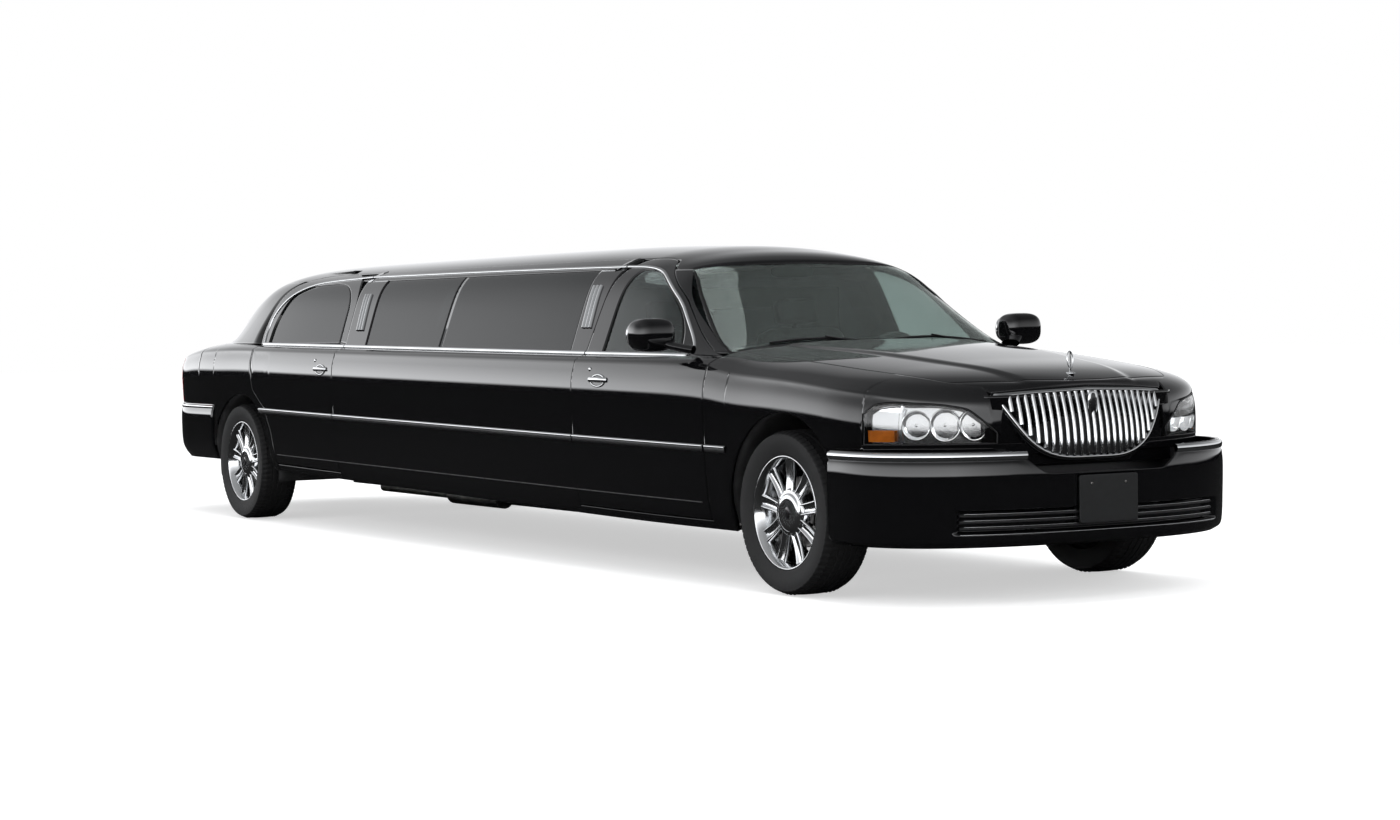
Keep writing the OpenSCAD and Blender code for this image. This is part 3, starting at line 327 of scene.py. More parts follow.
# %% [markdown]
# A polished wood grain runs along the piece. Stretching one axis of the noise before it bends a wave
# gives long fibres, where plain noise would look like stone.

# %% Wood finish
wood = finish("wood", (0.10, 0.035, 0.014), 0.18, coat=0.8, grain=50, bump=0.03, tone=0.5)
wood_nodes, wood_links = wood.node_tree.nodes, wood.node_tree.links
stretch = wood_nodes.new("ShaderNodeMapping")
stretch.inputs["Scale"].default_value = (1.2, 9, 9)
wood_links.new(wood_nodes["Texture Coordinate"].outputs["Object"], stretch.inputs["Vector"])
wood_links.new(stretch.outputs["Vector"], wood_nodes["Noise Texture"].inputs["Vector"])
print(len(FINISHES), "finishes with the wood")

# %% [markdown]
# ## Mesh helpers
# A piece is a grid of points and quads. The helper turns the quads outwards, either away from the car's
# middle line or so that a closed shape has a positive volume, gives the piece its finish and body, and
# can add a wall with Solidify.

def grid_faces(rows, cols, wrap_rows=False, wrap_cols=False):
    """Quads between neighbouring points of a grid, wrapping round where it closes."""
    i = np.arange(rows if wrap_rows else rows - 1)[:, None]
    j = np.arange(cols if wrap_cols else cols - 1)[None, :]
    a, b = i * cols + j, i * cols + (j + 1) % cols
    c, d = ((i + 1) % rows) * cols + (j + 1) % cols, ((i + 1) % rows) * cols + j
    return np.stack([a, b, c, d], -1).reshape(-1, 4)

def face_sum(points, quads, centre=None):
    """How much the quads face away from a centre, or six times the volume they close."""
    p = points[quads]
    normal = np.cross(p[:, 2] - p[:, 0], p[:, 3] - p[:, 1])
    middle = p.mean(1)
    return float((normal * (middle if centre is None else middle - centre)).sum())

def piece(name, parts, look, body, wall=0.0, closed=False, centre=None, replaces=()):
    """One named object from (points, quads) parts in millimetres."""
    all_points, all_faces, start = [], [], 0
    for points, quads in parts:
        points = np.asarray(points, float).reshape(-1, 3)
        if closed:
            flip = face_sum(points - points.mean(0), quads) < 0
        else:
            heart = np.array([points[:, 0].mean(), 0.0, 650.0]) if centre is None else np.array(centre, float)
            flip = face_sum(points, quads, heart) < 0
        all_faces.append((quads[:, ::-1] if flip else quads) + start)
        all_points.append(points)
        start += len(points)
    mesh = bpy.data.meshes.new(name)
    mesh.from_pydata((np.concatenate(all_points) * MM).tolist(), [],
                     [f for block in all_faces for f in block.tolist()])
    mesh.validate()
    mesh.polygons.foreach_set("use_smooth", np.ones(len(mesh.polygons), bool))
    obj = bpy.data.objects.new(name, mesh)
    bpy.context.scene.collection.objects.link(obj)
    mesh.materials.append(FINISHES[look])
    if wall:
        solid = obj.modifiers.new("wall", "SOLIDIFY")
        solid.thickness, solid.offset, solid.use_even_offset = wall * MM, -1, False
    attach(obj, body)
    if replaces:
        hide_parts(*replaces)
    return obj

def sheet(points, wrap_rows=False, wrap_cols=False):
    """A grid of points as a part for piece()."""
    rows, cols = points.shape[:2]
    return points, grid_faces(rows, cols, wrap_rows, wrap_cols)

def flipped(points):
    """The same points on the car's other side."""
    return points * np.array([1.0, -1.0, 1.0])

def on_side(points, side):
    """Points of the left side, or their mirror image for the right side."""
    return points if side == LEFT else flipped(points)

def unit(v):
    """Vectors divided by their lengths."""
    return v / np.maximum(np.linalg.norm(v, axis=-1, keepdims=True), 1e-9)

def filled(value, like):
    """One value at every place of an array."""
    return np.full(np.shape(like), float(value))

def steps(start, end, pitch, *jumps):
    """Places from start to end at about a pitch, with close pairs at both ends and at each jump."""
    count = max(int(abs(end - start) / pitch), 2)
    edge = math.copysign(3.0, end - start)
    places = list(np.linspace(start, end, count + 1)) + [start + edge, end - edge]
    places += [j + d for j in jumps for d in (-0.4, 0.4) if min(start, end) < j + d < max(start, end)]
    return np.array(sorted(set(places), reverse=end < start))

def shares(count, edge=0.012):
    """Shares from 0 to 1 with one close row at each end, which keeps the shading flat up to the edge."""
    return np.concatenate([[0, edge], np.linspace(0, 1, count + 1)[1:-1], [1 - edge, 1]])

def between(surface, x, low, high, count, edge=0.012):
    """Grid on a surface: for each place x, the second parameter runs from low to high."""
    v = shares(count, edge)[None, :]
    low, high = np.broadcast_to(low, x.shape)[:, None], np.broadcast_to(high, x.shape)[:, None]
    return surface(x[:, None], low + (high - low) * v)

# %% [markdown]
# Trim, tubes, spokes and seals are one idea: a small profile carried along a path. The frame at each
# point comes from the path's direction and a chosen up vector, which on the body is the panel's normal.

# %% Sweeps, revolved shapes and surface normals
def sweep(path, profile, up, wrap=False):
    """Closed tube part: profile points (across, up) set at each path point, ends closed by a fan."""
    path, profile = np.asarray(path, float), np.asarray(profile, float)
    up = np.broadcast_to(np.asarray(up, float), path.shape)
    ahead = np.roll(path, -1, 0) - np.roll(path, 1, 0) if wrap else np.gradient(path, axis=0)
    tangent = unit(ahead)
    across = unit(np.cross(up, tangent))
    rise = np.cross(tangent, across)
    if profile.ndim == 2:
        profile = np.broadcast_to(profile, (len(path), *profile.shape))
    points = (path[:, None] + profile[..., 0:1] * across[:, None] + profile[..., 1:2] * rise[:, None])
    n, k = points.shape[:2]
    quads = grid_faces(n, k, wrap, True)
    points = points.reshape(-1, 3)
    if not wrap:
        points = np.concatenate([points, points[:k].mean(0)[None], points[-k:].mean(0)[None]])
        j = np.arange(k)
        start = np.stack([j, j, np.full(k, n * k), (j + 1) % k], -1)
        end = np.stack([(n - 1) * k + j, (n - 1) * k + (j + 1) % k, np.full(k, n * k + 1)], -1)
        start = start[:, [0, 2, 3]]
        start, end = (np.concatenate([f, f[:, -1:]], 1) for f in (start, end))
        quads = np.concatenate([quads, start[:, ::-1], end[:, ::-1]])
    return points, quads

def ring(radius_x, radius_y, count=12):
    """Ellipse profile."""
    a = np.linspace(0, 2 * math.pi, count, endpoint=False)
    return np.stack([radius_x * np.cos(a), radius_y * np.sin(a)], -1)

def half_round(width, height, sunk=3.0, count=7):
    """Trim profile: a flattened arch on a base sunk below the surface."""
    a = np.linspace(0, math.pi, count)
    arch = np.stack([width / 2 * np.cos(a), height * np.sin(a) ** 0.7], -1)
    return np.concatenate([[[width / 2, -sunk]], arch, [[-width / 2, -sunk]]])

def revolve(profile, centre, side, count=96):
    """Turned part about a wheel's axis: profile points are (radius, distance outwards)."""
    a = np.linspace(0, 2 * math.pi, count, endpoint=False)[:, None]
    radius, out = np.asarray(profile, float).T
    x = centre[0] + radius * np.cos(a)
    z = centre[2] + radius * np.sin(a)
    y = centre[1] + side * np.broadcast_to(out, x.shape)
    return np.stack([x, y, z], -1), grid_faces(count, len(radius), True, False)

def normal_of(surface, x, v, dx=4.0, dv=0.004):
    """Unit normal of a surface by differences, turned outwards on the left side."""
    across = surface(x + dx, v) - surface(x - dx, v)
    upward = surface(x, v + dv) - surface(x, v - dv)
    n = unit(np.cross(across, upward))
    return np.where((n[..., 1:2] < 0), -n, n)

def strip_on_body(x, z, width, height, side):
    """Trim part along the lower body at heights z."""
    q = girth_at_height(x, z)
    return sweep(on_side(skin(x, q), side), half_round(width, height), on_side(normal_of(skin, x, q), side))

def strip_on_house(x, z, width, height, side, lift=0.0):
    """Trim part along the greenhouse through points (x, z)."""
    n = normal_of(house, x, z, dv=4.0)
    return sweep(on_side(house(x, z) + lift * n, side), half_round(width, height), on_side(n, side))

def softened(points, count, rounds=3):
    """Outline with its corners cut a few times, then set out at even distances."""
    p = np.array(points, float)
    for _ in range(rounds):
        cut = np.empty((2 * len(p) - 2, 2))
        cut[0::2], cut[1::2] = 0.75 * p[:-1] + 0.25 * p[1:], 0.25 * p[:-1] + 0.75 * p[1:]
        p = np.concatenate([p[:1], cut, p[-1:]])
    run = np.concatenate([[0], np.cumsum(np.linalg.norm(np.diff(p, axis=0), axis=1))])
    even = np.linspace(0, run[-1], count)
    return np.stack([np.interp(even, run, p[:, 0]), np.interp(even, run, p[:, 1])], -1)
print("sweeps and turned shapes defined")

# %% [markdown]
# ## Doors
# A door is a lower skin up to the belt and a window frame above it. The front door ends just above the
# sill; the rear door's lower corner climbs over the wheel arch, written as a height below which the door
# has ended. Cutting one skin by such heights keeps the doors and the panels beside them on one surface.

# %% Door outlines
GAP = 3.0                       # half of a visible panel gap
SILL_LIP = 42                   # how far the doors end above the sill
DOOR_HEAD = roof_z(0.85)        # upper edge of the door frames
front_frame = [(FD_REAR + GAP, BELT + 5), (FD_REAR + GAP, DOOR_HEAD), (XF - 1460, DOOR_HEAD),
               (XF - 1365, roof_z(0.78)), (XF - 1147, roof_z(0.575)), (XF - 966, roof_z(0.32)),
               (XF - 832, roof_z(0.15)), (XF - 690, roof_z(0.035)), (FD_FRONT - 30, BELT + 5)]
front_glass_line = [(FD_REAR + 150, BELT + 8), (FD_REAR + 120, roof_z(0.755)), (XF - 1480, roof_z(0.765)),
                    (XF - 1370, roof_z(0.715)), (XF - 1165, roof_z(0.53)), (XF - 1000, roof_z(0.29)),
                    (XF - 900, BELT + 8)]
rear_frame = [(RD_FRONT - GAP, BELT + 55), (RD_FRONT - 130 - GAP, DOOR_HEAD), (RD_FRONT - 830, DOOR_HEAD),
              (XR + 390, roof_z(0.79)), (XR + 270, roof_z(0.69)), (XR + 198, roof_z(0.5)),
              (XR + 183, roof_z(0.25)), (XR + 225, roof_z(0.095))]
rear_glass_line = [(RD_FRONT - 75, BELT + 62), (RD_FRONT - 190, roof_z(0.765)), (XR + 575, roof_z(0.745)),
                   (XR + 455, roof_z(0.7)), (XR + 360, roof_z(0.58)), (XR + 300, roof_z(0.35)),
                   (XR + 330, roof_z(0.105))]

def front_door_foot(x):
    """Lower edge of the front door, a lip's height above the sill."""
    return sill(x) + SILL_LIP

def rear_door_foot(x):
    """Lower edge of the rear door, climbing over the rear wheel arch."""
    arch = np.interp(x, [XR + 232, XR + 262, XR + 285, XR + 455, XR + 535, XR + 560, XR + 566],
                     [1030, 850, 795, 690, 560, 410, 0])
    return np.maximum(sill(x) + SILL_LIP, arch)
print(f"front door {FD_FRONT - FD_REAR:.0f} mm long")

# %% [markdown]
# A real door is one pressing with a window frame. Here the skin and the frame are two grids with the same
# wall, as they lie on two different surfaces. A boolean cut from the whole side would leave ragged edges.

# %% Lower skins and frames of the four doors
DOOR_WALL = 22.0

def lower_skin(x, foot, count=26):
    """Skin from a foot height to the belt."""
    return between(skin, x, girth_at_height(x, foot), belt_girth(x), count)

def frame_strip(inner, outer, count=90, rows=5):
    """Greenhouse strip between two outlines."""
    a, b = softened(inner, count), softened(outer, count)
    v = shares(rows, 0.03)[None, :, None]
    line = a[:, None] * (1 - v) + b[:, None] * v
    return house(line[..., 0], line[..., 1])

front_x = steps(FD_REAR + GAP, FD_FRONT - GAP - 2, 24, FD_FRONT - 58)
rear_x = steps(XR + 236, RD_FRONT - GAP - 2, 24, XR + 563)
for side, word in SIDES.items():
    for end, xs, foot, inner, outer in (("front", front_x, front_door_foot, front_glass_line, front_frame),
                                        ("rear", rear_x, rear_door_foot, rear_glass_line, rear_frame)):
        body = f"{end}_door_{word}"
        piece(f"{end}_door_skin_{word}", [sheet(on_side(lower_skin(xs, foot(xs)), side))], "gloss_black",
              body, wall=DOOR_WALL, replaces=(body,))
        piece(f"{end}_door_frame_{word}", [sheet(on_side(frame_strip(inner, outer), side))], "gloss_black",
              body, wall=DOOR_WALL)
print("doors done")

# %% [markdown]
# ## Fixed sides, pillars and fenders
# The long panel between the doors is one skin from belt to sill. Under the doors only the sill shows.
# Fender and quarter panels end at the wheel arches, whose shape is a leaning half ellipse.

# %% Arches, fenders and quarters
def arch_height(x, centre_x, centre_z, half, rise, skew):
    """Height of a leaning half ellipse over each place, found by interpolating along its angle."""
    a = np.radians(np.linspace(0, 180, 181))
    px, pz = centre_x + half * np.cos(a) + skew * np.sin(a), centre_z + rise * np.sin(a)
    return np.interp(x, px[::-1], pz[::-1], left=0, right=0)

FRONT_ARCH = (XF + 5, SPINDLE + 18, 414, 410, 20)
REAR_ARCH = (XR - 7, SPINDLE - 16, 488, 430, 80)
LAMP_END = XF + 545
hood_half = curve([(XF - 580, 742), (XF, 730), (XF + 400, 692), (NOSE_END - 214, 582),
                   (NOSE_END - 109, 430), (NOSE_END - 64, 330)])
lamp_top = curve([(XF + 545, 780), (XF + 590, 818), (XF + 700, 824), (XF + 830, 800), (XF + 868, 740),
                  (XF + 892, 668)])

def fender_foot(x):
    """Lower edge of the front fender: sill, wheel arch, bumper, then over the lamp."""
    foot = np.maximum(sill(x), arch_height(x, *FRONT_ARCH))
    foot = np.where((x > XF + 330) & (x <= LAMP_END), np.maximum(foot, 634), foot)
    return np.where(x > LAMP_END - 4, lamp_top(x) + 5, foot)

def nose_places(start, end, count):
    """Places that crowd together towards the nose, where the body turns in."""
    s = np.sin(np.linspace(0, math.pi / 2, count))
    return start + (end - start) * s

fender_x = np.unique(np.concatenate([steps(FD_FRONT + 4, XF + 440, 16, XF - 409, XF + 419),
                                     nose_places(XF + 440, XF + 886, 40), [LAMP_END - 4.4, LAMP_END - 3.6]]))
fender_top = girth_at_width(fender_x, np.maximum(hood_half(fender_x) + GAP, 470))
fender_low = np.minimum(girth_at_height(fender_x, fender_foot(fender_x)), fender_top)
fender_grid = between(skin, fender_x, fender_low, fender_top, 34, 0.008)

def quarter_foot(x):
    """Lower edge of the rear quarter: the sill or the wheel arch, then the bumper."""
    foot = np.maximum(sill(x), arch_height(x, *REAR_ARCH))
    return np.where(x < XR - 380, np.maximum(foot, 697), foot)

def quarter_head(x):
    """Upper edge of the rear quarter: the greenhouse's foot, then the boot lid's side."""
    house_foot = np.where(x > XR - 640, belt_width(x) - 2, 0)
    lid = np.where(x < XR - 640 - GAP, 735 + GAP, 0)
    return girth_at_width(x, np.maximum(house_foot, lid))

TAIL_LAMP_FRONT = TAIL_END + 330
quarter_x = steps(TAIL_LAMP_FRONT + GAP, XR + 228, 16, XR - 482, XR - 640, XR - 380)
quarter_grid = between(skin, quarter_x, girth_at_height(quarter_x, quarter_foot(quarter_x)),
                       quarter_head(quarter_x), 34, 0.008)

def door_edge_height(x):
    """Height of the rear door's lower rear edge, seen from the quarter panel in front of the arch."""
    return np.interp(x, [XR + 228, XR + 256, XR + 279, XR + 449, XR + 529, XR + 553, XR + 560],
                     [1030, 850, 795, 690, 560, 410, 300])

heel_x = steps(XR + 229, XR + 556, 12)
heel_low = np.maximum(sill(heel_x), arch_height(heel_x, *REAR_ARCH))
heel_grid = between(skin, heel_x, girth_at_height(heel_x, heel_low),
                    girth_at_height(heel_x, np.maximum(door_edge_height(heel_x), heel_low + 1)), 12, 0.02)
print("fender grid", fender_grid.shape[:2], "quarter grid", quarter_grid.shape[:2])

# %% [markdown]
# The fixed panels follow. Left and right are the same grids mirrored, so they cannot drift apart.

# %% Build fenders, quarters, sides and sills
middle_x = steps(RD_FRONT + GAP, FD_REAR - GAP, 30)
front_sill_x = steps(FD_REAR - GAP, FD_FRONT + 4, 30)
rear_sill_x = steps(XR + 566, RD_FRONT + GAP, 30)
for side, word in SIDES.items():
    piece(f"front_fender_{word}", [sheet(on_side(fender_grid, side))], "gloss_black", "body", wall=16,
          replaces=("front_fenders",) if side == LEFT else ())
    piece(f"rear_quarter_{word}", [sheet(on_side(quarter_grid, side)), sheet(on_side(heel_grid, side))],
          "gloss_black", "body", wall=16, replaces=("quarter_panels",) if side == LEFT else ())
    sill_top = lambda x: girth_at_height(x, sill(x) + 36)
    piece(f"side_panel_{word}",
          [sheet(on_side(between(skin, middle_x, 0 * middle_x, belt_girth(middle_x), 30), side)),
           sheet(on_side(between(skin, front_sill_x, 0 * front_sill_x, sill_top(front_sill_x), 3), side)),
           sheet(on_side(between(skin, rear_sill_x, 0 * rear_sill_x, sill_top(rear_sill_x), 3), side))],
          "gloss_black", "body", wall=30, replaces=("side_panels",) if side == LEFT else ())
print("sides done")

# %% [markdown]
# ## Hood, cowl, boot lid
# The hood carries a raised centre that narrows towards the grille, as a smooth step in height. The boot
# lid runs back over the deck and turns down to the bumper, so its grid has rows along the deck and then
# rows down the tail, joined at the shoulder.

# %% Hood and cowl
def smooth_step(x):
    """S-shaped blend 3x^2 - 2x^3 from 0 to 1."""
    x = np.clip(x, 0, 1)
    return x * x * (3 - 2 * x)

centre_half = curve([(XF - 580, 545), (XF + 200, 430), (NOSE_END - 64, 300)])

def hood_height(x, y):
    """Crown height plus a centre raised by 9 mm inside a line that narrows to the grille."""
    return top_height(x, y) + 9 * smooth_step((centre_half(x) - np.abs(y)) / 46)

hood_share = shares(64, 0.002)[:, None]
hood_cross = np.sort(np.concatenate([np.linspace(-1, 1, 91), [-0.996, 0.996]]))[None, :]
hood_from = XF - 500 + GAP - 82 * np.abs(hood_cross) ** 2.6
hood_to = NOSE_END - 60 - 150 * np.abs(hood_cross) ** 3.2
hood_xs = hood_from + (hood_to - hood_from) * hood_share
hood_ys = hood_cross * (hood_half(hood_xs) - GAP)
hood_points = np.stack([hood_xs, hood_ys, hood_height(hood_xs, hood_ys)], -1)
piece("hood_skin", [sheet(hood_points)], "gloss_black", "hood", wall=16, replaces=("hood",))

cowl_cross = np.linspace(-1, 1, 81)[None, :]
cowl_share = shares(8, 0.05)[:, None]
cowl_front = XF - 500 - GAP - 82 * np.abs(cowl_cross) ** 2.6
cowl_back = XF - 700 + 40 * np.abs(cowl_cross) ** 3
cowl_xs = cowl_back + (cowl_front - cowl_back) * cowl_share
cowl_ys = cowl_cross * (742 - GAP)
cowl_ys = np.broadcast_to(cowl_ys, cowl_xs.shape)
cowl_points = np.stack([cowl_xs, cowl_ys, top_height(cowl_xs, cowl_ys) - 4], -1)
piece("cowl_skin", [sheet(cowl_points)], "black_plastic", "body", wall=10, replaces=("cowl",))
print("hood grid", hood_points.shape[:2])

# %% [markdown]
# The lid's rear edge follows a cubed superellipse in plan, x = start - length (1 - |y / width|^3)^(1/3),
# so it meets the tail's round corners.

# %% Boot lid
TAIL_LENGTH = TAIL_START - TAIL_END

def tail_place(y, width):
    """Where the tail's superellipse in plan has closed to a half width y."""
    return TAIL_START - TAIL_LENGTH * (1 - np.clip(np.abs(y) / width, 0, 1) ** 3) ** (1 / 3)

lid_cross = np.linspace(-1, 1, 95)[None, :]
lid_y = lid_cross * (735 - GAP)
lid_x0 = XR - 640 - GAP - 60 * np.abs(lid_cross) ** 4
tail_width = HALF - inset(TAIL_END + 60) - tuck(1)
lid_x1 = tail_place(lid_y, tail_width)
deck_share = 1 - (1 - shares(44, 0.006)[:, None]) ** 2.2
deck_x = lid_x0 + (lid_x1 - lid_x0) * deck_share
deck = np.stack([deck_x, np.broadcast_to(lid_y, deck_x.shape), top_height(deck_x, lid_y)], -1)
deck[-1, :, 2] = np.minimum(deck[-1, :, 2], shoulder(deck[-1, :, 0]) + 4)
drop_share = shares(26, 0.01)[1:, None]
drop_z = deck[-1:, :, 2] + (698 + GAP - deck[-1:, :, 2]) * drop_share
drop_u = np.clip((drop_z - sill(TAIL_END)) / (shoulder(TAIL_END) - sill(TAIL_END)), 0, 1)
drop_x = tail_place(lid_y, HALF - inset(TAIL_END + 60) - tuck(drop_u))
drop = np.stack([drop_x, np.broadcast_to(lid_y, drop_x.shape), drop_z], -1)
lid_points = np.concatenate([deck, drop])
piece("boot_lid_skin", [sheet(lid_points)], "gloss_black", "boot_lid", wall=16,
      centre=(XR - 900, 0, 500), replaces=("boot_lid",))
print("hood and lid done")

# %% [markdown]
# ## Roof and pillars
# The roof is a cross of two parameters: a share along the car and an angle over it. Its side edge follows
# the doors' upper edge. The windscreen pillars and the rear quarters are strips between a door's edge and
# a window's edge, found on the same greenhouse surface.

# %% Roof
screen_half = curve([(1040, 776), (roof_z(0.745), 590), (roof_z(0.785), 300)])
TOP_Z = roof_z(0.745)
LIGHT_Z = roof_z(0.80)
RAIL_Z = DOOR_HEAD + 5          # the roof's side edge, over the doors
roof_edge = softened([(float(backlight_x(560, LIGHT_Z)), LIGHT_Z), (XR + 425, LIGHT_Z),
                      (RD_FRONT - 830, RAIL_Z), (RD_FRONT, RAIL_Z), (FD_REAR, RAIL_Z), (XF - 1460, RAIL_Z),
                      (XF - 1362, roof_z(0.78) + 4), (XF - 1325, TOP_Z),
                      (float(windscreen_x(590, TOP_Z)), TOP_Z)], 170, 2)
edge_rise = (roof_edge[:, 1] - belt(roof_edge[:, 0])) / (roof_line(roof_edge[:, 0]) - belt(roof_edge[:, 0]))
edge_angle = np.arccos(np.clip(edge_rise, 0, 0.995) ** 4)
mid_from, mid_to = XR - 190.0, XF - 1145.0
roof_run = (roof_edge[:, 0] - roof_edge[0, 0]) / (roof_edge[-1, 0] - roof_edge[0, 0])
roof_mid = mid_from + (mid_to - mid_from) * roof_run
cross = np.sort(np.concatenate([np.linspace(-1, 1, 61), [-0.995, 0.995]]))
roof_xs = roof_mid[:, None] + (roof_edge[:, 0] - roof_mid)[:, None] * np.abs(cross[None, :]) ** 2.5
roof_points = house_over(roof_xs, edge_angle[:, None] * cross[None, :])
piece("roof_skin", [sheet(roof_points)], "gloss_black", "body", wall=20, replaces=("roof",))
print("roof grid", roof_points.shape[:2])

# %% [markdown]
# Pillars are strips level by level between a door's edge and a window's edge. The frames over and beside
# the saloon windows are bilinear patches. A sunk gutter closes the gap over the doors from inside.

# %% Pillars, window surrounds and rear quarters
pillar_b, pillar_c = FD_REAR - 150, RD_FRONT + 270
window_foot, window_head = BELT + 22, roof_z(0.765)
glass_split = (pillar_b + pillar_c) / 2 - 260

def house_patch(corners, columns, rows):
    """Bilinear patch of the greenhouse between four (x, z) corners, in turn from the low rear one."""
    a, b, c, d = (np.array(p, float) for p in corners)
    u, v = shares(columns, 0.02)[:, None, None], shares(rows, 0.02)[None, :, None]
    line = (1 - u) * (1 - v) * a + u * (1 - v) * b + u * v * c + (1 - u) * v * d
    return house(line[..., 0], line[..., 1])

def slanted_pillar(z, door_x, edge_y, end_x):
    """Strip between a door's edge and a window's edge, level by level."""
    door_y = house_width(door_x, z)
    v = shares(8, 0.03)[None, :]
    y = door_y[:, None] + (edge_y[:, None] - door_y[:, None]) * v
    return np.stack([end_x(y, z[:, None]), y, np.broadcast_to(z[:, None], y.shape)], -1)

front_line = np.array(front_frame[2:-1][::-1], float)
front_z = np.linspace(BELT + 20, TOP_Z, 50)
front_edge_x = np.interp(front_z, softened(front_line, 80)[:, 1], softened(front_line, 80)[:, 0]) + 2 * GAP
a_pillar = slanted_pillar(front_z, front_edge_x, screen_half(front_z), windscreen_x)
rear_line = softened(rear_frame[3:], 80)[::-1]
rear_z = np.linspace(BELT + 62, LIGHT_Z, 50)
rear_edge_x = np.interp(rear_z, rear_line[:, 1], rear_line[:, 0]) - 2 * GAP
light_half = curve([(roof_z(0.12), 660), (roof_z(0.8), 560), (roof_z(0.88), 40)])
c_pillar = slanted_pillar(rear_z, rear_edge_x, light_half(rear_z), backlight_x)
for side, word in SIDES.items():
    patches = [a_pillar, c_pillar,
               house_patch([(RD_FRONT - 120, window_head), (FD_REAR - GAP, window_head),
                            (FD_REAR - GAP, RAIL_Z), (RD_FRONT - 130 + GAP, RAIL_Z)], 60, 4),
               house_patch([(pillar_b, BELT), (FD_REAR - GAP, BELT), (FD_REAR - GAP, window_head),
                            (pillar_b - 60, window_head)], 8, 24),
               house_patch([(RD_FRONT + GAP, BELT + 40), (pillar_c, BELT + 40), (pillar_c - 110, window_head),
                            (RD_FRONT - 112 + GAP, window_head)], 8, 24)]
    piece(f"pillars_{word}", [sheet(on_side(p, side)) for p in patches], "gloss_black", "body", wall=20)

gutter_x, gutter_z = np.meshgrid(np.linspace(XR + 520, XF - 1420, 90),
                                 np.linspace(roof_z(0.80), roof_z(0.90), 6), indexing="ij")
gutter = house(gutter_x, gutter_z) - 27 * normal_of(house, gutter_x, gutter_z, dv=4.0)
for side, word in SIDES.items():
    piece(f"gutter_{word}", [sheet(on_side(gutter, side))], "gloss_black", "body", wall=4)
sail = np.linspace(-1, 1, 61)[None, :]
sail_z = np.linspace(BELT + 30, roof_z(0.125), 12)[:, None]
sail_y = sail * (belt_width(XR - 560) - 30)
sail_points = np.stack([backlight_x(sail_y, sail_z), np.broadcast_to(sail_y, (12, 61)),
                        np.broadcast_to(sail_z, (12, 61))], -1)
piece("backlight_foot", [sheet(sail_points)], "gloss_black", "body", wall=8, centre=(XR, 0, 1000))
print("roof done")

# %% [markdown]
# ## Glass
# Side glass lies 6 mm under the frames on the same surface. The windscreen and the rear window are worked
# out by width and height, because there the surface turns to face forwards and backwards.

# %% Side glass
def glass_pane(outline, count=56, rows=24):
    """Pane filled between the outline's rising and falling halves, sunk below the frames."""
    line = softened(outline, 2 * count)
    lower, upper = line[:count], line[count:][::-1]
    v = np.linspace(0, 1, rows)[None, :, None]
    mesh_line = lower[:, None] * (1 - v) + upper[:, None] * v
    x, z = mesh_line[..., 0], mesh_line[..., 1]
    return house(x, z) - 6 * normal_of(house, x, z, dv=4.0)

def flat_pane(corners):
    """Pane between four corners, sunk below the frames."""
    grid = house_patch(corners, 40, 14)
    return grid - 6 * normal_of(house, grid[..., 0], grid[..., 2], dv=4.0)

pane_head = window_head + 6
side_panes = [[(glass_split + 4, window_foot - 8), (pillar_b + 6, window_foot - 8),
               (pillar_b - 54, pane_head), (glass_split - 56, pane_head)],
              [(pillar_c - 6, window_foot + 16), (glass_split - 4, window_foot + 10),
               (glass_split - 64, pane_head), (pillar_c - 116, pane_head)]]
for side, word in SIDES.items():
    piece(f"front_door_pane_{word}", [sheet(on_side(glass_pane(front_glass_line), side))], "front_glass",
          f"front_door_{word}", wall=4, replaces=(f"front_glass_{word}",))
    piece(f"rear_door_pane_{word}", [sheet(on_side(glass_pane(rear_glass_line), side))], "privacy_glass",
          f"rear_door_{word}", wall=4, replaces=(f"rear_glass_{word}",))
    piece(f"saloon_panes_{word}", [sheet(on_side(flat_pane(c), side)) for c in side_panes], "privacy_glass",
          "body", wall=4, replaces=("side_windows",) if side == LEFT else ())
print(len(side_panes), "saloon panes on each side")

# %% [markdown]
# Both end panes are bent in two directions. A grid by width share and height, placed on the greenhouse's
# ends, gives that bend; the thickness of 5 mm is a guess at laminated glass.

# %% Windscreen and rear window
def end_pane(place, half, low, high, sink, columns=71, rows=40):
    """Pane by width share and height, moved inwards along the car by its sink."""
    z = np.linspace(low, high, rows)[:, None]
    y = np.linspace(-1, 1, columns)[None, :] * half(z)
    return np.stack([place(y, z) + sink, y, np.broadcast_to(z, y.shape)], -1)

screen_curve = curve([(1020, 790), (1129, 742), (1266, 676), (TOP_Z, 604), (TOP_Z + 30, 596)])
light_curve = curve([(roof_z(0.10), 672), (roof_z(0.8), 574), (roof_z(0.88) + 10, 560)])
screen_points = end_pane(windscreen_x, screen_curve, 1022, roof_z(0.80), -7)
light_points = end_pane(backlight_x, light_curve, roof_z(0.11), roof_z(0.90), 7)
piece("windscreen_pane", [sheet(screen_points)], "screen_glass", "body", wall=5, centre=(XF - 2500, 0, 900),
      replaces=("windscreen",))
piece("rear_window_pane", [sheet(light_points)], "privacy_glass", "body", wall=5, centre=(XR + 1500, 0, 900),
      replaces=("rear_window",))
print("glass done")

# %% [markdown]
# ## Bumpers
# A bumper's plan is a superellipse; its section is a gentle bulge with a chin that tucks under. The front
# one dips below the grille and carries a recessed lower intake. Both are one grid of an angle and a
# height, moved inwards along the plan's normal.

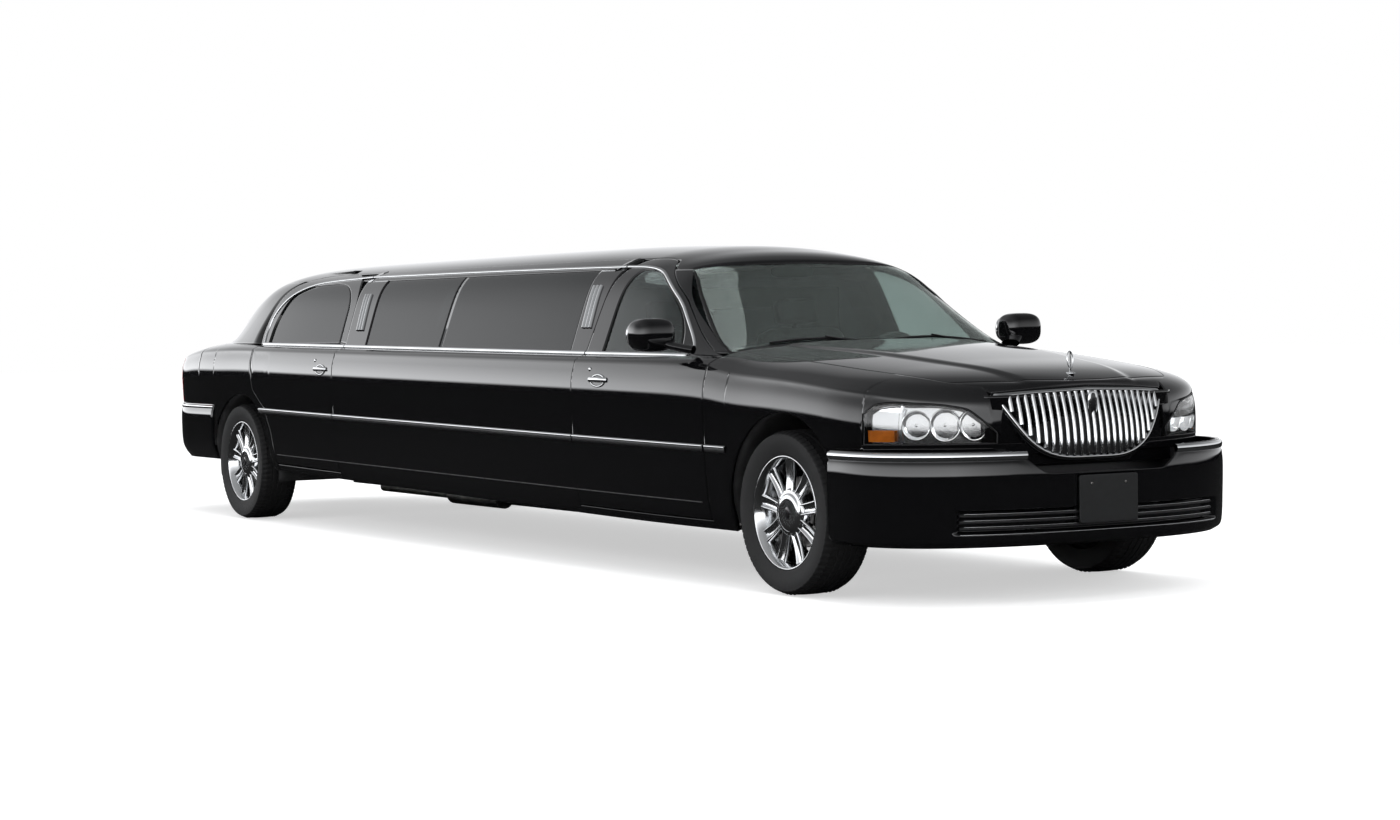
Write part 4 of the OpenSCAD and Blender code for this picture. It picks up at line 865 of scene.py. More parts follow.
# %% Bumper grids
def bumper_plan(half, depth, power, start, end, reach, count):
    """Plan points and outward normals: straight sides from reach to start, then a superellipse."""
    a = np.linspace(-math.pi / 2, math.pi / 2, count)
    y = half * np.sign(a) * np.abs(np.sin(a)) ** (2 / power)
    x = depth * np.abs(np.cos(a)) ** (2 / power)
    leg = np.linspace(0, 1, 14)[:-1]
    forward = 1 if end > start else -1
    x = np.concatenate([-(1 - leg) * reach, x, -leg[::-1] * reach - 1])
    y = np.concatenate([np.full(13, -half), y, np.full(13, half)])
    plan = np.stack([start + forward * x, y], -1)
    t = unit(np.gradient(plan, axis=0))
    normal = np.stack([t[:, 1], -t[:, 0]], -1) * forward
    return plan, normal

front_plan, front_out = bumper_plan(HALF - 28, FRONT_END - XF - 452, 2.5, XF + 450, FRONT_END, 60, 121)
rear_plan, rear_out = bumper_plan(HALF - 52, XR - 850 - REAR_END - 2, 3, XR - 850, REAR_END, 345, 121)
front_section = curve([(243, 46), (262, 16), (300, 6), (400, 2), (520, 0), (560, 2), (585, 6), (600, 14),
                       (640, 18)])
rear_section = curve([(340, 60), (390, 24), (440, 6), (560, 0), (640, 2), (668, 10), (700, 14)])

def front_bumper_top(y):
    """Upper edge: level at the sides, dipping below the grille."""
    return 632 - 96 * smooth_step((470 - np.abs(y)) / 180)

def bumper_grid(plan, normal, low, top, section, rows, recess=None):
    """Points at each plan point and height, moved in by the section and by any recess."""
    z = low + (top[:, None] - low) * shares(rows, 0.01)[None, :]
    inward = section(z) + (recess(plan[:, 1:2], z) if recess else 0)
    xy = plan[:, None] - normal[:, None] * inward[..., None]
    return np.concatenate([xy, z[..., None]], -1)

def intake(y, z):
    """Recess of the lower intake and a shallow pocket behind the plate, both with soft sides."""
    pocket = 12 * smooth_step((166 - np.abs(y)) / 6) * smooth_step((z - 318) / 6) * smooth_step((532 - z) / 6)
    recess = 38 * smooth_step((690 - np.abs(y)) / 14) * smooth_step((z - 300) / 6)
    return pocket + recess * smooth_step((398 - z) / 6)

front_bumper_grid = bumper_grid(front_plan, front_out, 243, front_bumper_top(front_plan[:, 1]),
                                front_section, 78, intake)
rear_bumper_grid = bumper_grid(rear_plan, rear_out, 345, np.full(len(rear_plan), 694.0), rear_section, 30)
piece("front_bumper_skin", [sheet(front_bumper_grid)], "gloss_black", "body", wall=12,
      centre=(XF - 500, 0, 440), replaces=("front_bumper",))
piece("rear_bumper_skin", [sheet(rear_bumper_grid)], "gloss_black", "body", wall=12, centre=(XR, 0, 540),
      replaces=("rear_bumper",))
print("bumpers done")

# %% [markdown]
# ## Bright side trim
# Chrome strips frame the side windows, mark the belt and run along the doors as a moulding. Each one is
# broken at the door gaps, because every length belongs to the door or the body that carries it.

# %% Belt, window loop, moulding and cladding line
SPANS = {"front_door": (FD_REAR + 5, FD_FRONT - 8), "body": (RD_FRONT + 5, FD_REAR - 5),
         "rear_door": (XR + 262, RD_FRONT - 5)}
moulding_z = curve([(XF - 400, 613), (XF - 5614, 677)])
cladding_z = curve([(XF - 388, 365), (XF - 5406, 413)])
def moulding_parts(x, side):
    """The moulding's dark lower strip and the bright strip along its upper edge."""
    return (strip_on_body(x, moulding_z(x) - 7, 30, 8, side),
            strip_on_body(x, moulding_z(x) + 4, 12, 11, side))

rear_loop = [(XR + 268, BELT + 64), (XR + 226, BELT + 144), (XR + 254, BELT + 253), (XR + 374, BELT + 348),
             (XR + 572, BELT + 404), (XR + 787, BELT + 424), (RD_FRONT - 116, BELT + 439)]
middle_loop = [(RD_FRONT - 106, BELT + 439), (XF - 3000, BELT + 436), (FD_REAR - 5, BELT + 427)]
front_loop = [(FD_REAR + 5, BELT + 427), (XF - 1501, BELT + 421), (XF - 1340, BELT + 388),
              (XF - 1132, BELT + 282), (XF - 966, BELT + 143), (XF - 845, BELT + 52),
              (XF - 812, BELT + 18), (XF - 860, BELT + 6)]
for side, word in SIDES.items():
    for name, loop in (("rear_door", rear_loop), ("body", middle_loop), ("front_door", front_loop)):
        body = name if name == "body" else f"{name}_{word}"
        start, end = SPANS[name]
        end_belt = min(end, XF - 850)
        line = softened(loop, 90)
        x = np.linspace(start, end_belt, 70)
        piece(f"bright_window_frame_{name}_{word}",
              [strip_on_house(line[:, 0], line[:, 1], 17, 7, side),
               strip_on_house(x, belt(x) + 8, 21, 8, side)], "chrome", body, closed=True)
        x = np.linspace(start + (120 if name == "rear_door" else 0), end, 70)
        moulding, bright = moulding_parts(x, side)
        piece(f"side_moulding_{name}_{word}", [moulding], "black_plastic", body, closed=True)
        piece(f"moulding_brightwork_{name}_{word}", [bright], "chrome", body, closed=True)
        x = np.linspace(start + (330 if name == "rear_door" else 0),
                        end - (42 if name == "front_door" else 0), 60)
        piece(f"cladding_line_{name}_{word}", [strip_on_body(x, cladding_z(x), 5, 1.6, side)], "grey_plastic",
              body, closed=True)
    x = np.linspace(FD_FRONT + 8, XF - 414, 14)
    moulding, bright = moulding_parts(x, side)
    piece(f"fender_moulding_{word}", [moulding], "black_plastic", "body", closed=True)
    piece(f"fender_brightwork_{word}", [bright], "chrome", "body", closed=True)
print("bright trim on", ", ".join(SPANS))

# %% [markdown]
# Each pillar beside the saloon windows carries three short chrome bars. They are plain rounded strips.

# %% Coach bars on the pillars
BAR_LOW, BAR_HIGH = BELT + 135, BELT + 337
def coach_bars(x_low, lean, side):
    """Three parallel strips that lean back up a pillar."""
    z = np.linspace(BAR_LOW, BAR_HIGH, 24)
    return [strip_on_house(x_low + k * 33 - lean * (z - BAR_LOW) / (BAR_HIGH - BAR_LOW), z, 19, 11, side)
            for k in (-1, 0, 1)]

for side, word in SIDES.items():
    piece(f"coach_bars_front_{word}", coach_bars(XF - 1815, 44, side), "chrome", "body", closed=True)
    piece(f"coach_bars_rear_{word}", coach_bars(XF - 4430, 78, side), "chrome", "body", closed=True)
print("coach bars done")

# %% [markdown]
# ## Handles and mirrors
# A door handle is a chrome bar over an oval cup. The mirror is a rounded shell on a short arm: a
# superellipsoid is enough, since its sections are all rounded rectangles.

# %% Rounded forms
def rounded_form(centre, half, square, upright, rows=28, cols=48):
    """Superellipsoid: cosines and sines of two angles raised to powers; small powers look boxier."""
    power = lambda w, e: np.sign(w) * np.abs(w) ** e
    up = np.linspace(-math.pi / 2, math.pi / 2, rows)[:, None]
    turn_angle = np.linspace(0, 2 * math.pi, cols, endpoint=False)[None, :]
    level = power(np.cos(up), upright)
    points = np.stack([half[0] * level * power(np.cos(turn_angle), square),
                       half[1] * level * power(np.sin(turn_angle), square),
                       half[2] * power(np.sin(up), upright) * np.ones_like(turn_angle)], -1)
    return points + np.array(centre, float), grid_faces(rows, cols, False, True)

def weld(obj):
    """Merge the doubled points at poles, so that they close."""
    import bmesh
    work = bmesh.new()
    work.from_mesh(obj.data)
    bmesh.ops.remove_doubles(work, verts=work.verts, dist=1e-5)
    work.to_mesh(obj.data)
    work.free()
    return obj

def tilted(part, pivot, degrees):
    """A part leaned back about a crosswise line through the pivot."""
    points, quads = part
    a = math.radians(degrees)
    rel = points - np.array(pivot, float)
    turned = np.stack([rel[..., 0] * math.cos(a) + rel[..., 2] * math.sin(a), rel[..., 1],
                       rel[..., 2] * math.cos(a) - rel[..., 0] * math.sin(a)], -1)
    return turned + np.array(pivot, float), quads
print("rounded forms defined")

# %% [markdown]
# The handle's grip bows out by h (1 - s^4), which is flat in the middle and dips quickly at its ends. The
# mirror is a superellipsoid shell and a swept arm in one piece; all of them ride the doors.

# %% Handles, locks, mirrors
def handle_parts(x, z, side):
    """Oval rim on the skin and a bowed grip that stands over it."""
    a = np.linspace(0, 2 * math.pi, 48, endpoint=False)
    rim_x, rim_z = x + 62 * np.cos(a), z + 27 * np.sin(a)
    q = girth_at_height(rim_x, rim_z)
    n = normal_of(skin, rim_x, q)
    rim = sweep(on_side(skin(rim_x, q) + 1 * n, side), ring(5, 4), on_side(n, side), wrap=True)
    s = np.linspace(-1, 1, 24)
    gx = x + 78 * s
    gq = girth_at_height(gx, z + 4 + 0 * gx)
    gn = normal_of(skin, gx, gq)
    bowed = skin(gx, gq) + (22 * (1 - s**4))[:, None] * gn
    grip = sweep(on_side(bowed, side), ring(12, 6), on_side(gn, side))
    return [rim, grip]

def cup_part(x, z, side):
    """Dark oval dish inside the rim."""
    r, a = np.linspace(0.02, 1, 8)[:, None], np.linspace(0, 2 * math.pi, 40, endpoint=False)[None, :]
    dx, dz = x + 60 * r * np.cos(a), z + 25 * r * np.sin(a)
    q = girth_at_height(dx, dz)
    return sheet(on_side(skin(dx, q) + 1.2 * normal_of(skin, dx, q), side), wrap_cols=True)

for side, word in SIDES.items():
    for end, x, z in (("front", XF - 1480, BELT - 112), ("rear", XF - 4690 - 24, BELT - 86)):
        body = f"{end}_door_{word}"
        piece(f"handle_{end}_{word}", handle_parts(x, z, side), "chrome", body, closed=True)
        piece(f"handle_cup_{end}_{word}", [cup_part(x, z, side)], "cap_black", body)
        lock_at = skin(x - 92, girth_at_height(x - 92, z + 52.0))
        lock = rounded_form(on_side(lock_at, side), (11, 5, 11), 1, 1, 12, 20)
        weld(piece(f"lock_{end}_{word}", [lock], "chrome", body, closed=True))
    mirror_centre = np.array([XF - 862.0, 1040.0, BELT + 101])
    shell = rounded_form(mirror_centre, (72, 106, 76), 0.62, 0.66, 40, 64)
    arm_path = np.array([(XF - 742, 892, BELT + 32), (XF - 775, 925, BELT + 40), (XF - 812, 965, BELT + 52),
                         (XF - 845, 990, BELT + 70)])
    arm = sweep(arm_path, ring(44, 20, 20), (0, 0, 1))
    weld(piece(f"mirror_shell_{word}", [(on_side(shell[0], side), shell[1]), (on_side(arm[0], side), arm[1])],
               "gloss_black", f"front_door_{word}", closed=True, replaces=(f"mirror_{word}",)))
    face = rounded_form(mirror_centre + np.array([-66, 0, 0]), (9, 92, 62), 0.7, 0.7, 20, 40)
    weld(piece(f"mirror_glass_{word}", [(on_side(face[0], side), face[1])], "reflector", f"front_door_{word}",
               closed=True))
print("trim, handles and mirrors done")

# %% [markdown]
# ## Grille
# A wide chrome frame holds 23 upright bars. The grille leans back, and its corners sweep back with the
# nose; both are one function of width and height, so frame, bars and the dark mesh behind share it.

# %% Grille surface, frame and bars
GRILLE_LOW = float(box_mm("grille")[0][2])
GRILLE_H, GRILLE_W = 292.0, 450.0

def grille_at(y, h, lift=0.0):
    """Point of the grille: leans back 10 degrees, bows out at mid height and sweeps back at the sides."""
    share = h / GRILLE_H
    bow = 16 * np.sin(math.pi * np.clip(share, 0, 1))
    x = NOSE_END + 26 - 0.16 * h - 62 * (y / GRILLE_W) ** 2 + bow + lift
    return np.stack([x + 0 * y, y + 0 * h, GRILLE_LOW + h + 0 * y], -1)

softened_half = softened([(0.0, 0.0), (0.42, 0.0), (0.70, 0.2), (0.88, 0.58), (1.0, 0.92), (0.97, 0.97)], 60)
outer_half = softened_half * np.array([GRILLE_W, GRILLE_H])
top_half = softened([(GRILLE_W * 0.97, GRILLE_H * 0.97), (GRILLE_W * 0.6, GRILLE_H * 1.01),
                     (0, GRILLE_H * 1.04)], 30, 2)
right_half = np.concatenate([outer_half, top_half[1:]])
outline = np.concatenate([right_half, (right_half * [-1, 1])[::-1][1:-1]])
centre_yh = np.array([0, GRILLE_H * 0.53])
frame_in = centre_yh + (outline - centre_yh) * np.array([0.90, 0.82]) + np.array([0, 2])
s = np.linspace(0, 1, 9)[None, :, None]
frame_yh = outline[:, None] * (1 - s) + frame_in[:, None] * s
frame_lift = 22 * np.sin(math.pi * s[..., 0]) ** 0.6 - 16
frame_points = grille_at(frame_yh[..., 0], frame_yh[..., 1], frame_lift)
piece("grille_frame", [sheet(frame_points, wrap_rows=True)], "chrome", "body", wall=6, centre=(XF, 0, 700),
      replaces=("grille",))

def inner_span(y):
    """Lowest and highest point of the frame's inner edge at a width."""
    ordered = frame_in[frame_in[:, 0] >= -1e-6]
    lower = ordered[ordered[:, 1] < GRILLE_H * 0.80]
    lower = lower[np.argsort(lower[:, 0])]
    upper = ordered[ordered[:, 1] >= GRILLE_H * 0.80]
    upper = upper[np.argsort(upper[:, 0])]
    return np.interp(abs(y), lower[:, 0], lower[:, 1]), np.interp(abs(y), upper[:, 0], upper[:, 1])

bars = []
BAR_COUNT = 23
for k in range(BAR_COUNT):
    y = (k - (BAR_COUNT - 1) / 2) * 2 * GRILLE_W * 0.885 / BAR_COUNT
    low, high = inner_span(y)
    h = np.linspace(low - 4, high + 4, 18)
    bars.append(sweep(grille_at(0 * h + y, h, 2 + 0 * h), ring(8.5, 13, 14), (1, 0, 0)))
piece("grille_bars", bars, "chrome", "body", closed=True)
hh, yy = np.meshgrid(np.linspace(14, GRILLE_H * 0.96, 30), np.linspace(-1, 1, 40), indexing="ij")
mesh_half = np.interp(hh / GRILLE_H, softened_half[:50, 1], softened_half[:50, 0]) * GRILLE_W * 0.95
back_yy = yy * np.minimum(mesh_half, 420)
piece("grille_mesh", [sheet(grille_at(back_yy, hh, -22 + 0 * hh))], "black_plastic", "body", wall=3,
      centre=(XF, 0, 700))
print(f"grille {2 * GRILLE_W:.0f} x {GRILLE_H:.0f} mm with {BAR_COUNT} bars")

# %% [markdown]
# The hood's painted edge has to meet the grille's frame. Rows are blended from one edge line to the other
# and bowed outwards by a sine, so that no daylight shows between them.

# %% Painted lip from the hood's front edge down to the grille
lip_start = hood_points[-1] + np.array([0.5, 0, -2.0])
lip_y = np.clip(lip_start[:, 1], -446, 446)
lip_end = grille_at(lip_y, np.interp(np.abs(lip_y), top_half[::-1, 0], top_half[::-1, 1]), -8)
s = np.linspace(0, 1, 10)[None, :, None]
lip = lip_start[:, None] * (1 - s) + lip_end[:, None] * s + np.sin(math.pi * s) * np.array([9, 0, 7])
piece("hood_lip", [sheet(lip)], "gloss_black", "hood", wall=6, centre=(XF, 0, 700))
print("hood lip grid", lip.shape[:2])

# %% [markdown]
# The shield is blank. The ornament is a thin oval loop with an upright rod in it, on a small oval base.

# %% Plain badge shield and upright ornament
shield_at = grille_at(np.array(0.0), np.array(GRILLE_H * 0.80), 16)
shield = rounded_form(shield_at, (7, 24, 52), 0.8, 0.7, 24, 32)
inlay = rounded_form(shield_at + np.array([5, 0, 0]), (4, 15, 42), 0.8, 0.7, 20, 28)
weld(piece("grille_shield", [shield], "chrome", "body", closed=True))
weld(piece("grille_shield_inlay", [inlay], "cap_black", "body", closed=True))
ornament_x = XF + 800
ornament_z = float(hood_height(ornament_x, 0.0))
a = np.linspace(0, 2 * math.pi, 48, endpoint=False)
loop_path = np.stack([ornament_x - 3.2 * np.sin(a), 15 * np.cos(a), ornament_z + 58 + 34 * np.sin(a)], -1)

def ornament_rod(low, high, radius):
    """Upright rod between two heights above the hood."""
    ends = np.array([(ornament_x, 0, ornament_z + low), (ornament_x, 0, ornament_z + high)])
    return sweep(ends, ring(radius, radius), (1, 0, 0))

stem, upright = ornament_rod(-2, 27, 4), ornament_rod(24, 92, 2.6)
base = rounded_form((ornament_x, 0, ornament_z + 1), (26, 16, 6), 1, 0.8, 16, 32)
weld(piece("hood_ornament", [sweep(loop_path, ring(3.2, 3.2), (1, 0, 0), wrap=True), stem, upright, base],
           "chrome", "hood", closed=True))
print(f"ornament at x {ornament_x:.0f}, z {ornament_z:.0f} mm")

# %% [markdown]
# Behind the grille stands a painted nose, and behind the bumper's opening a dark backing. Both are lines
# of the nose's superellipse set back a little, and the aprons fill the strip under the lamps.

# %% Painted nose behind the grille and the aprons under the lamps
def nose_line(share, back):
    """Nose in plan: start + length (1 - |share|^p)^(1/p), set back a little."""
    return NOSE_START + NOSE_LENGTH * (1 - np.abs(share) ** NOSE_POWER) ** (1 / NOSE_POWER) - back

nose_c = np.linspace(-0.56, 0.56, 61)[None, :]
nose_z = np.linspace(560, 852, 30)[:, None]
nose_x = nose_line(nose_c, 14)
nose_points = np.stack([nose_x + 0 * nose_z, nose_c * (HALF - 100) + 0 * nose_z, nose_z + 0 * nose_c], -1)
piece("nose_panel", [sheet(nose_points)], "gloss_black", "body", wall=6, centre=(XF, 0, 700))
back_c, back_z = np.linspace(-0.9, 0.9, 61)[None, :], np.linspace(460, 655, 8)[:, None]
back_x = nose_line(back_c, 34)
back = np.stack([back_x + 0 * back_z, back_c * (HALF - 110) + 0 * back_z, back_z + 0 * back_c], -1)
piece("bumper_mesh", [sheet(back)], "black_plastic", "body", wall=4, centre=(XF, 0, 600))
apron_x = NOSE_START + NOSE_LENGTH * np.sin(np.linspace(
    math.asin((LAMP_END - 6 - NOSE_START) / NOSE_LENGTH), 1.42, 50))
apron_low, apron_high = (girth_at_height(apron_x, filled(z, apron_x)) for z in (612, 655))
for side, word in SIDES.items():
    apron = between(skin, apron_x, apron_low, apron_high, 4)
    piece(f"lamp_apron_{word}", [sheet(on_side(apron, side))], "gloss_black", "body", wall=6)
print("front done")

# %% [markdown]
# ## Headlamps
# Each lamp is a clear cover on the body surface over a bright housing with three round reflectors and, at
# the outer end, an amber turn lamp. The bowls are turned shapes set into the housing and aimed between
# forward and outward.

# %% Lamp cover, housing and reflectors
lamp_angle = np.linspace(math.asin((LAMP_END + 4 - NOSE_START) / NOSE_LENGTH), 1.19, 60)
lamp_x = NOSE_START + NOSE_LENGTH * np.sin(lamp_angle)
LAMP_FOOT = 657.0

def lamp_sheet(lift):
    """Part of the skin between the lamp's foot and its top line, moved along its normal."""
    low_q = girth_at_height(lamp_x, filled(LAMP_FOOT, lamp_x))
    high_q = girth_at_height(lamp_x, np.maximum(lamp_top(lamp_x), LAMP_FOOT + 2))
    grid = between(skin, lamp_x, low_q, high_q, 22, 0.02)
    q = low_q[:, None] + (high_q - low_q)[:, None] * shares(22, 0.02)[None, :]
    return grid + lift * normal_of(skin, lamp_x[:, None] + 0 * q, q)

def bowl(centre, aim, radius, depth):
    """Turned reflector: a parabola from the rim down to a small bulb seat, with a raised rim."""
    aim = unit(np.array(aim, float))
    one = unit(np.cross(aim, (0, 0, 1)))
    two = np.cross(one, aim)
    r = np.array([1.06, 1.09, 1.03, 0.97, 0.85, 0.7, 0.55, 0.4, 0.25, 0.18, 0.16, 0.01])[None, :] * radius
    dish = -depth * (1 - (r[0, 4:9] / radius) ** 2)
    seat = -depth * np.array([0.72, 0.45, 0.38])
    out = np.concatenate([[-6, 2, 5, 0], dish, seat])[None, :]
    angle = np.linspace(0, 2 * math.pi, 64, endpoint=False)[:, None]
    flute = 1 + 0.012 * np.sign(np.sin(12 * angle)) * (r < radius * 0.93)
    p = (np.array(centre, float) + out[..., None] * aim + (r * flute * np.cos(angle))[..., None] * one
         + (r * flute * np.sin(angle))[..., None] * two)
    return p, grid_faces(64, 12, True, False)

for side, word in SIDES.items():
    piece(f"lamp_cover_{word}", [sheet(on_side(lamp_sheet(0.5), side))], "lens", "body", wall=3,
          replaces=("headlights",) if side == LEFT else ())
    piece(f"lamp_housing_{word}", [sheet(on_side(lamp_sheet(-38), side))], "reflector", "body", wall=2)
    rim_q = np.concatenate([girth_at_height(lamp_x, filled(LAMP_FOOT, lamp_x)),
                            girth_at_height(lamp_x, lamp_top(lamp_x))[::-1]])
    rim_x = np.concatenate([lamp_x, lamp_x[::-1]])
    rim_n = normal_of(skin, rim_x, rim_q)
    rim = sweep(on_side(skin(rim_x, rim_q) - 3 * rim_n, side), ring(4, 5, 8), on_side(rim_n, side), wrap=True)
    piece(f"lamp_seal_{word}", [rim], "black_plastic", "body", closed=True)
    bowls = []
    for spot, radius in ((0.44, 56), (0.66, 62), (0.86, 60)):
        angle = lamp_angle[0] + (lamp_angle[-1] - lamp_angle[0]) * spot
        bx = np.array(NOSE_START + NOSE_LENGTH * math.sin(angle))
        bq = girth_at_height(bx, 735.0)
        n = normal_of(skin, bx, bq)
        aim = unit(n + np.array([0.55, 0, 0]))
        p, quads = bowl(skin(bx, bq) - 26 * n, aim, radius, 44)
        bowls.append((on_side(p, side), quads))
        bulb = rounded_form(on_side(skin(bx, bq) - 44 * n, side), (9, 9, 9), 1, 1, 10, 16)
        bowls.append(bulb)
    weld(piece(f"lamp_reflectors_{word}", bowls, "reflector", "body", centre=(XF - 2500, 0, 735)))
    turn_x = lamp_x[2:17]
    amber_low, amber_high = (girth_at_height(turn_x, filled(z, turn_x)) for z in (668, 715))
    amber_q = amber_low[:, None] + (amber_high - amber_low)[:, None] * shares(8)[None, :]
    amber = skin(turn_x[:, None], amber_q) - 12 * normal_of(skin, turn_x[:, None] + 0 * amber_q, amber_q)
    piece(f"turn_lamp_{word}", [sheet(on_side(amber, side))], "amber", "body", wall=3)
    post_z = np.linspace(LAMP_FOOT + 2, 815, 20)
    post_x = np.full(20, float(lamp_x[19]))
    post_q = girth_at_height(post_x, post_z)
    post_n = normal_of(skin, post_x, post_q)
    post = sweep(on_side(skin(post_x, post_q) - 9 * post_n, side), ring(9, 5, 10), on_side(post_n, side))
    piece(f"lamp_divider_{word}", [post], "reflector", "body", closed=True)
print(f"headlamps from x {lamp_x[0]:.0f} to {lamp_x[-1]:.0f} mm")

# %% [markdown]
# The tail lamps wrap round the rear corners between the boot lid and the quarter panels. Their red covers
# are part of the body's skin, crossed by three thin bright ribs.

# %% Tail lamps
tail_angle = np.linspace(0.35, 1.33, 40)
tail_x = TAIL_START - TAIL_LENGTH * np.sin(tail_angle)
tail_x = tail_x[tail_x < TAIL_LAMP_FRONT]
tail_x = np.concatenate([[TAIL_LAMP_FRONT], tail_x])
tail_low = girth_at_height(tail_x, filled(700, tail_x))
tail_high = np.minimum(girth_at_height(tail_x, filled(992, tail_x)),
                       girth_at_width(tail_x, filled(738, tail_x)))
tail_grid = between(skin, tail_x, tail_low, np.maximum(tail_high, tail_low + 0.05), 22, 0.02)
for side, word in SIDES.items():
    piece(f"tail_lamp_{word}", [sheet(on_side(tail_grid, side))], "red_lens", "body", wall=10,
          centre=(XR - 500, 0, 800), replaces=("tail_lights",) if side == LEFT else ())
    rib_parts = []
    for z in (780.0, 850.0, 920.0):
        x = tail_x[1:-3]
        q = girth_at_height(x, filled(z, x))
        rib_up = on_side(normal_of(skin, x, q), side)
        rib_parts.append(sweep(on_side(skin(x, q), side), half_round(4, 2), rib_up))
    piece(f"tail_lamp_ribs_{word}", rib_parts, "chrome", "body", closed=True)
print("lamps done")

# %% [markdown]
# ## Bumper trim and plates
# A bright strip runs along each bumper's upper edge. The lower intake holds three blades with thin bright
# lines, and the plate places carry blank black plates.

# %% Bumper strips, blades and plates
def along_bumper(plan, normal, z, out, keep):
    """Path along a bumper at a height, a little outside its surface."""
    spots = keep(plan)
    return np.concatenate([plan[spots] + out * normal[spots], np.full((spots.sum(), 1), z)], 1), \
        np.concatenate([normal[spots], np.zeros((spots.sum(), 1))], 1)

for side, word in SIDES.items():
    path, up = along_bumper(front_plan, front_out, 611, -13, lambda p: p[:, 1] * side > 372)
    piece(f"front_bumper_strip_{word}", [sweep(path, half_round(34, 11, 6), up)], "chrome", "body",
          closed=True)
    path, up = along_bumper(rear_plan, rear_out, 674, -14, lambda p: p[:, 1] * side > -1)
    piece(f"rear_bumper_strip_{word}", [sweep(path, half_round(22, 10, 6), up)], "chrome", "body",
          closed=True)
blades, lines = [], []
for z in (322.0, 348.0, 374.0):
    path, up = along_bumper(front_plan, front_out, z, -26, lambda p: np.abs(p[:, 1]) < 676)
    blades.append(sweep(path, ring(7, 12, 12), up))
    path, up = along_bumper(front_plan, front_out, z + 7, -14, lambda p: np.abs(p[:, 1]) < 672)
    lines.append(sweep(path, ring(1.6, 1.6, 8), up))
path, up = along_bumper(front_plan, front_out, 298, -4, lambda p: np.abs(p[:, 1]) < 684)
lines.append(sweep(path, ring(2.2, 2.2, 8), up))
piece("intake_blades", blades, "black_plastic", "body", closed=True)
piece("intake_lines", lines, "chrome", "body", closed=True)
front_plate = rounded_form((FRONT_END - 8, 0, 425), (5, 153, 98), 0.12, 0.08, 24, 60)
weld(piece("front_plate_blank", [front_plate], "plate_black", "body", closed=True))
bolts = [rounded_form((FRONT_END - 4, y, 487.5), (3, 6, 6), 1, 0.7, 10, 16) for y in (-89, 89)]
weld(piece("front_plate_bolts", bolts, "steel", "body", closed=True))
rear_plate = rounded_form((REAR_END + 9, 0, 560), (5, 153, 80), 0.12, 0.08, 24, 60)
weld(piece("rear_plate_blank", [rear_plate], "plate_black", "body", closed=True))
print(len(blades), "intake blades and blank plates")

# %% [markdown]
# ## Wheels
# The rim is turned: lip, well and hub. Nine spokes with two raised ribs each are profiles carried outwards
# along the radius. The tyre is turned too, with grooves and side blocks pressed into its tread as a
# function of the angle and the distance across.

# %% Tyres
RIM_R = 246.0                   # radius where the tyre's bead meets the rim
BLOCKS = 72                     # tread blocks round the tyre

def tyre_part(centre, side, width, count=432):
    """Turned tyre: rounded walls and tread, four grooves round it, slots across the shoulders."""
    a = np.linspace(0, 2 * math.pi, count, endpoint=False)[:, None]
    half = width / 2
    up = np.concatenate([np.linspace(0, 0.80, 16), np.linspace(0.83, 0.985, 8)])
    tread = np.linspace(-1, 1, 61)
    bulge = np.sin(np.clip(up / 0.85, 0, 1) * math.pi * 0.62)
    side_out = half * (0.90 + 0.10 * bulge) - 34 * smooth_step((up - 0.80) / 0.2) ** 1.5
    side_r = RIM_R - 2 + (SPINDLE - RIM_R + 2) * up
    tread_out = tread * (half - 32)
    tread_r = SPINDLE - 0.6 - 5.0 * np.abs(tread) ** 3
    out = np.concatenate([-side_out, tread_out, side_out[::-1]])[None, :]
    radius = np.concatenate([side_r, tread_r, side_r[::-1]])[None, :]
    across = np.abs(out) / half
    on_tread = (radius > SPINDLE - 14).astype(float)
    groove = sum(smooth_step(1 - np.abs(out - g * half) / 5.0) for g in (-0.40, -0.13, 0.13, 0.40))
    slots = smooth_step((np.cos(a * BLOCKS + 2.2 * across) - 0.62) / 0.2)
    slots = slots * smooth_step((across - 0.44) / 0.04) * (radius > SPINDLE - 24)
    sipes = smooth_step((np.cos(a * BLOCKS + out * 0.05 + 1.5) - 0.86) / 0.1) * (across < 0.40) * 0.5
    ridge = 1.6 * smooth_step(1 - np.abs(radius - (RIM_R + 12)) / 4)
    ridge = ridge + 1.2 * smooth_step(1 - np.abs(radius - (RIM_R + 88)) / 3)
    radius = radius - on_tread * (7 * np.clip(groove, 0, 1) + 4 * sipes) - 4.5 * slots + 0 * a
    out = out + np.sign(out) * ridge * (1 - on_tread) + 0 * a
    points = np.stack([centre[0] + radius * np.cos(a), centre[1] + side * out,
                       centre[2] + radius * np.sin(a)], -1)
    return points, grid_faces(count, points.shape[1], True, True)

SPOKES = 9

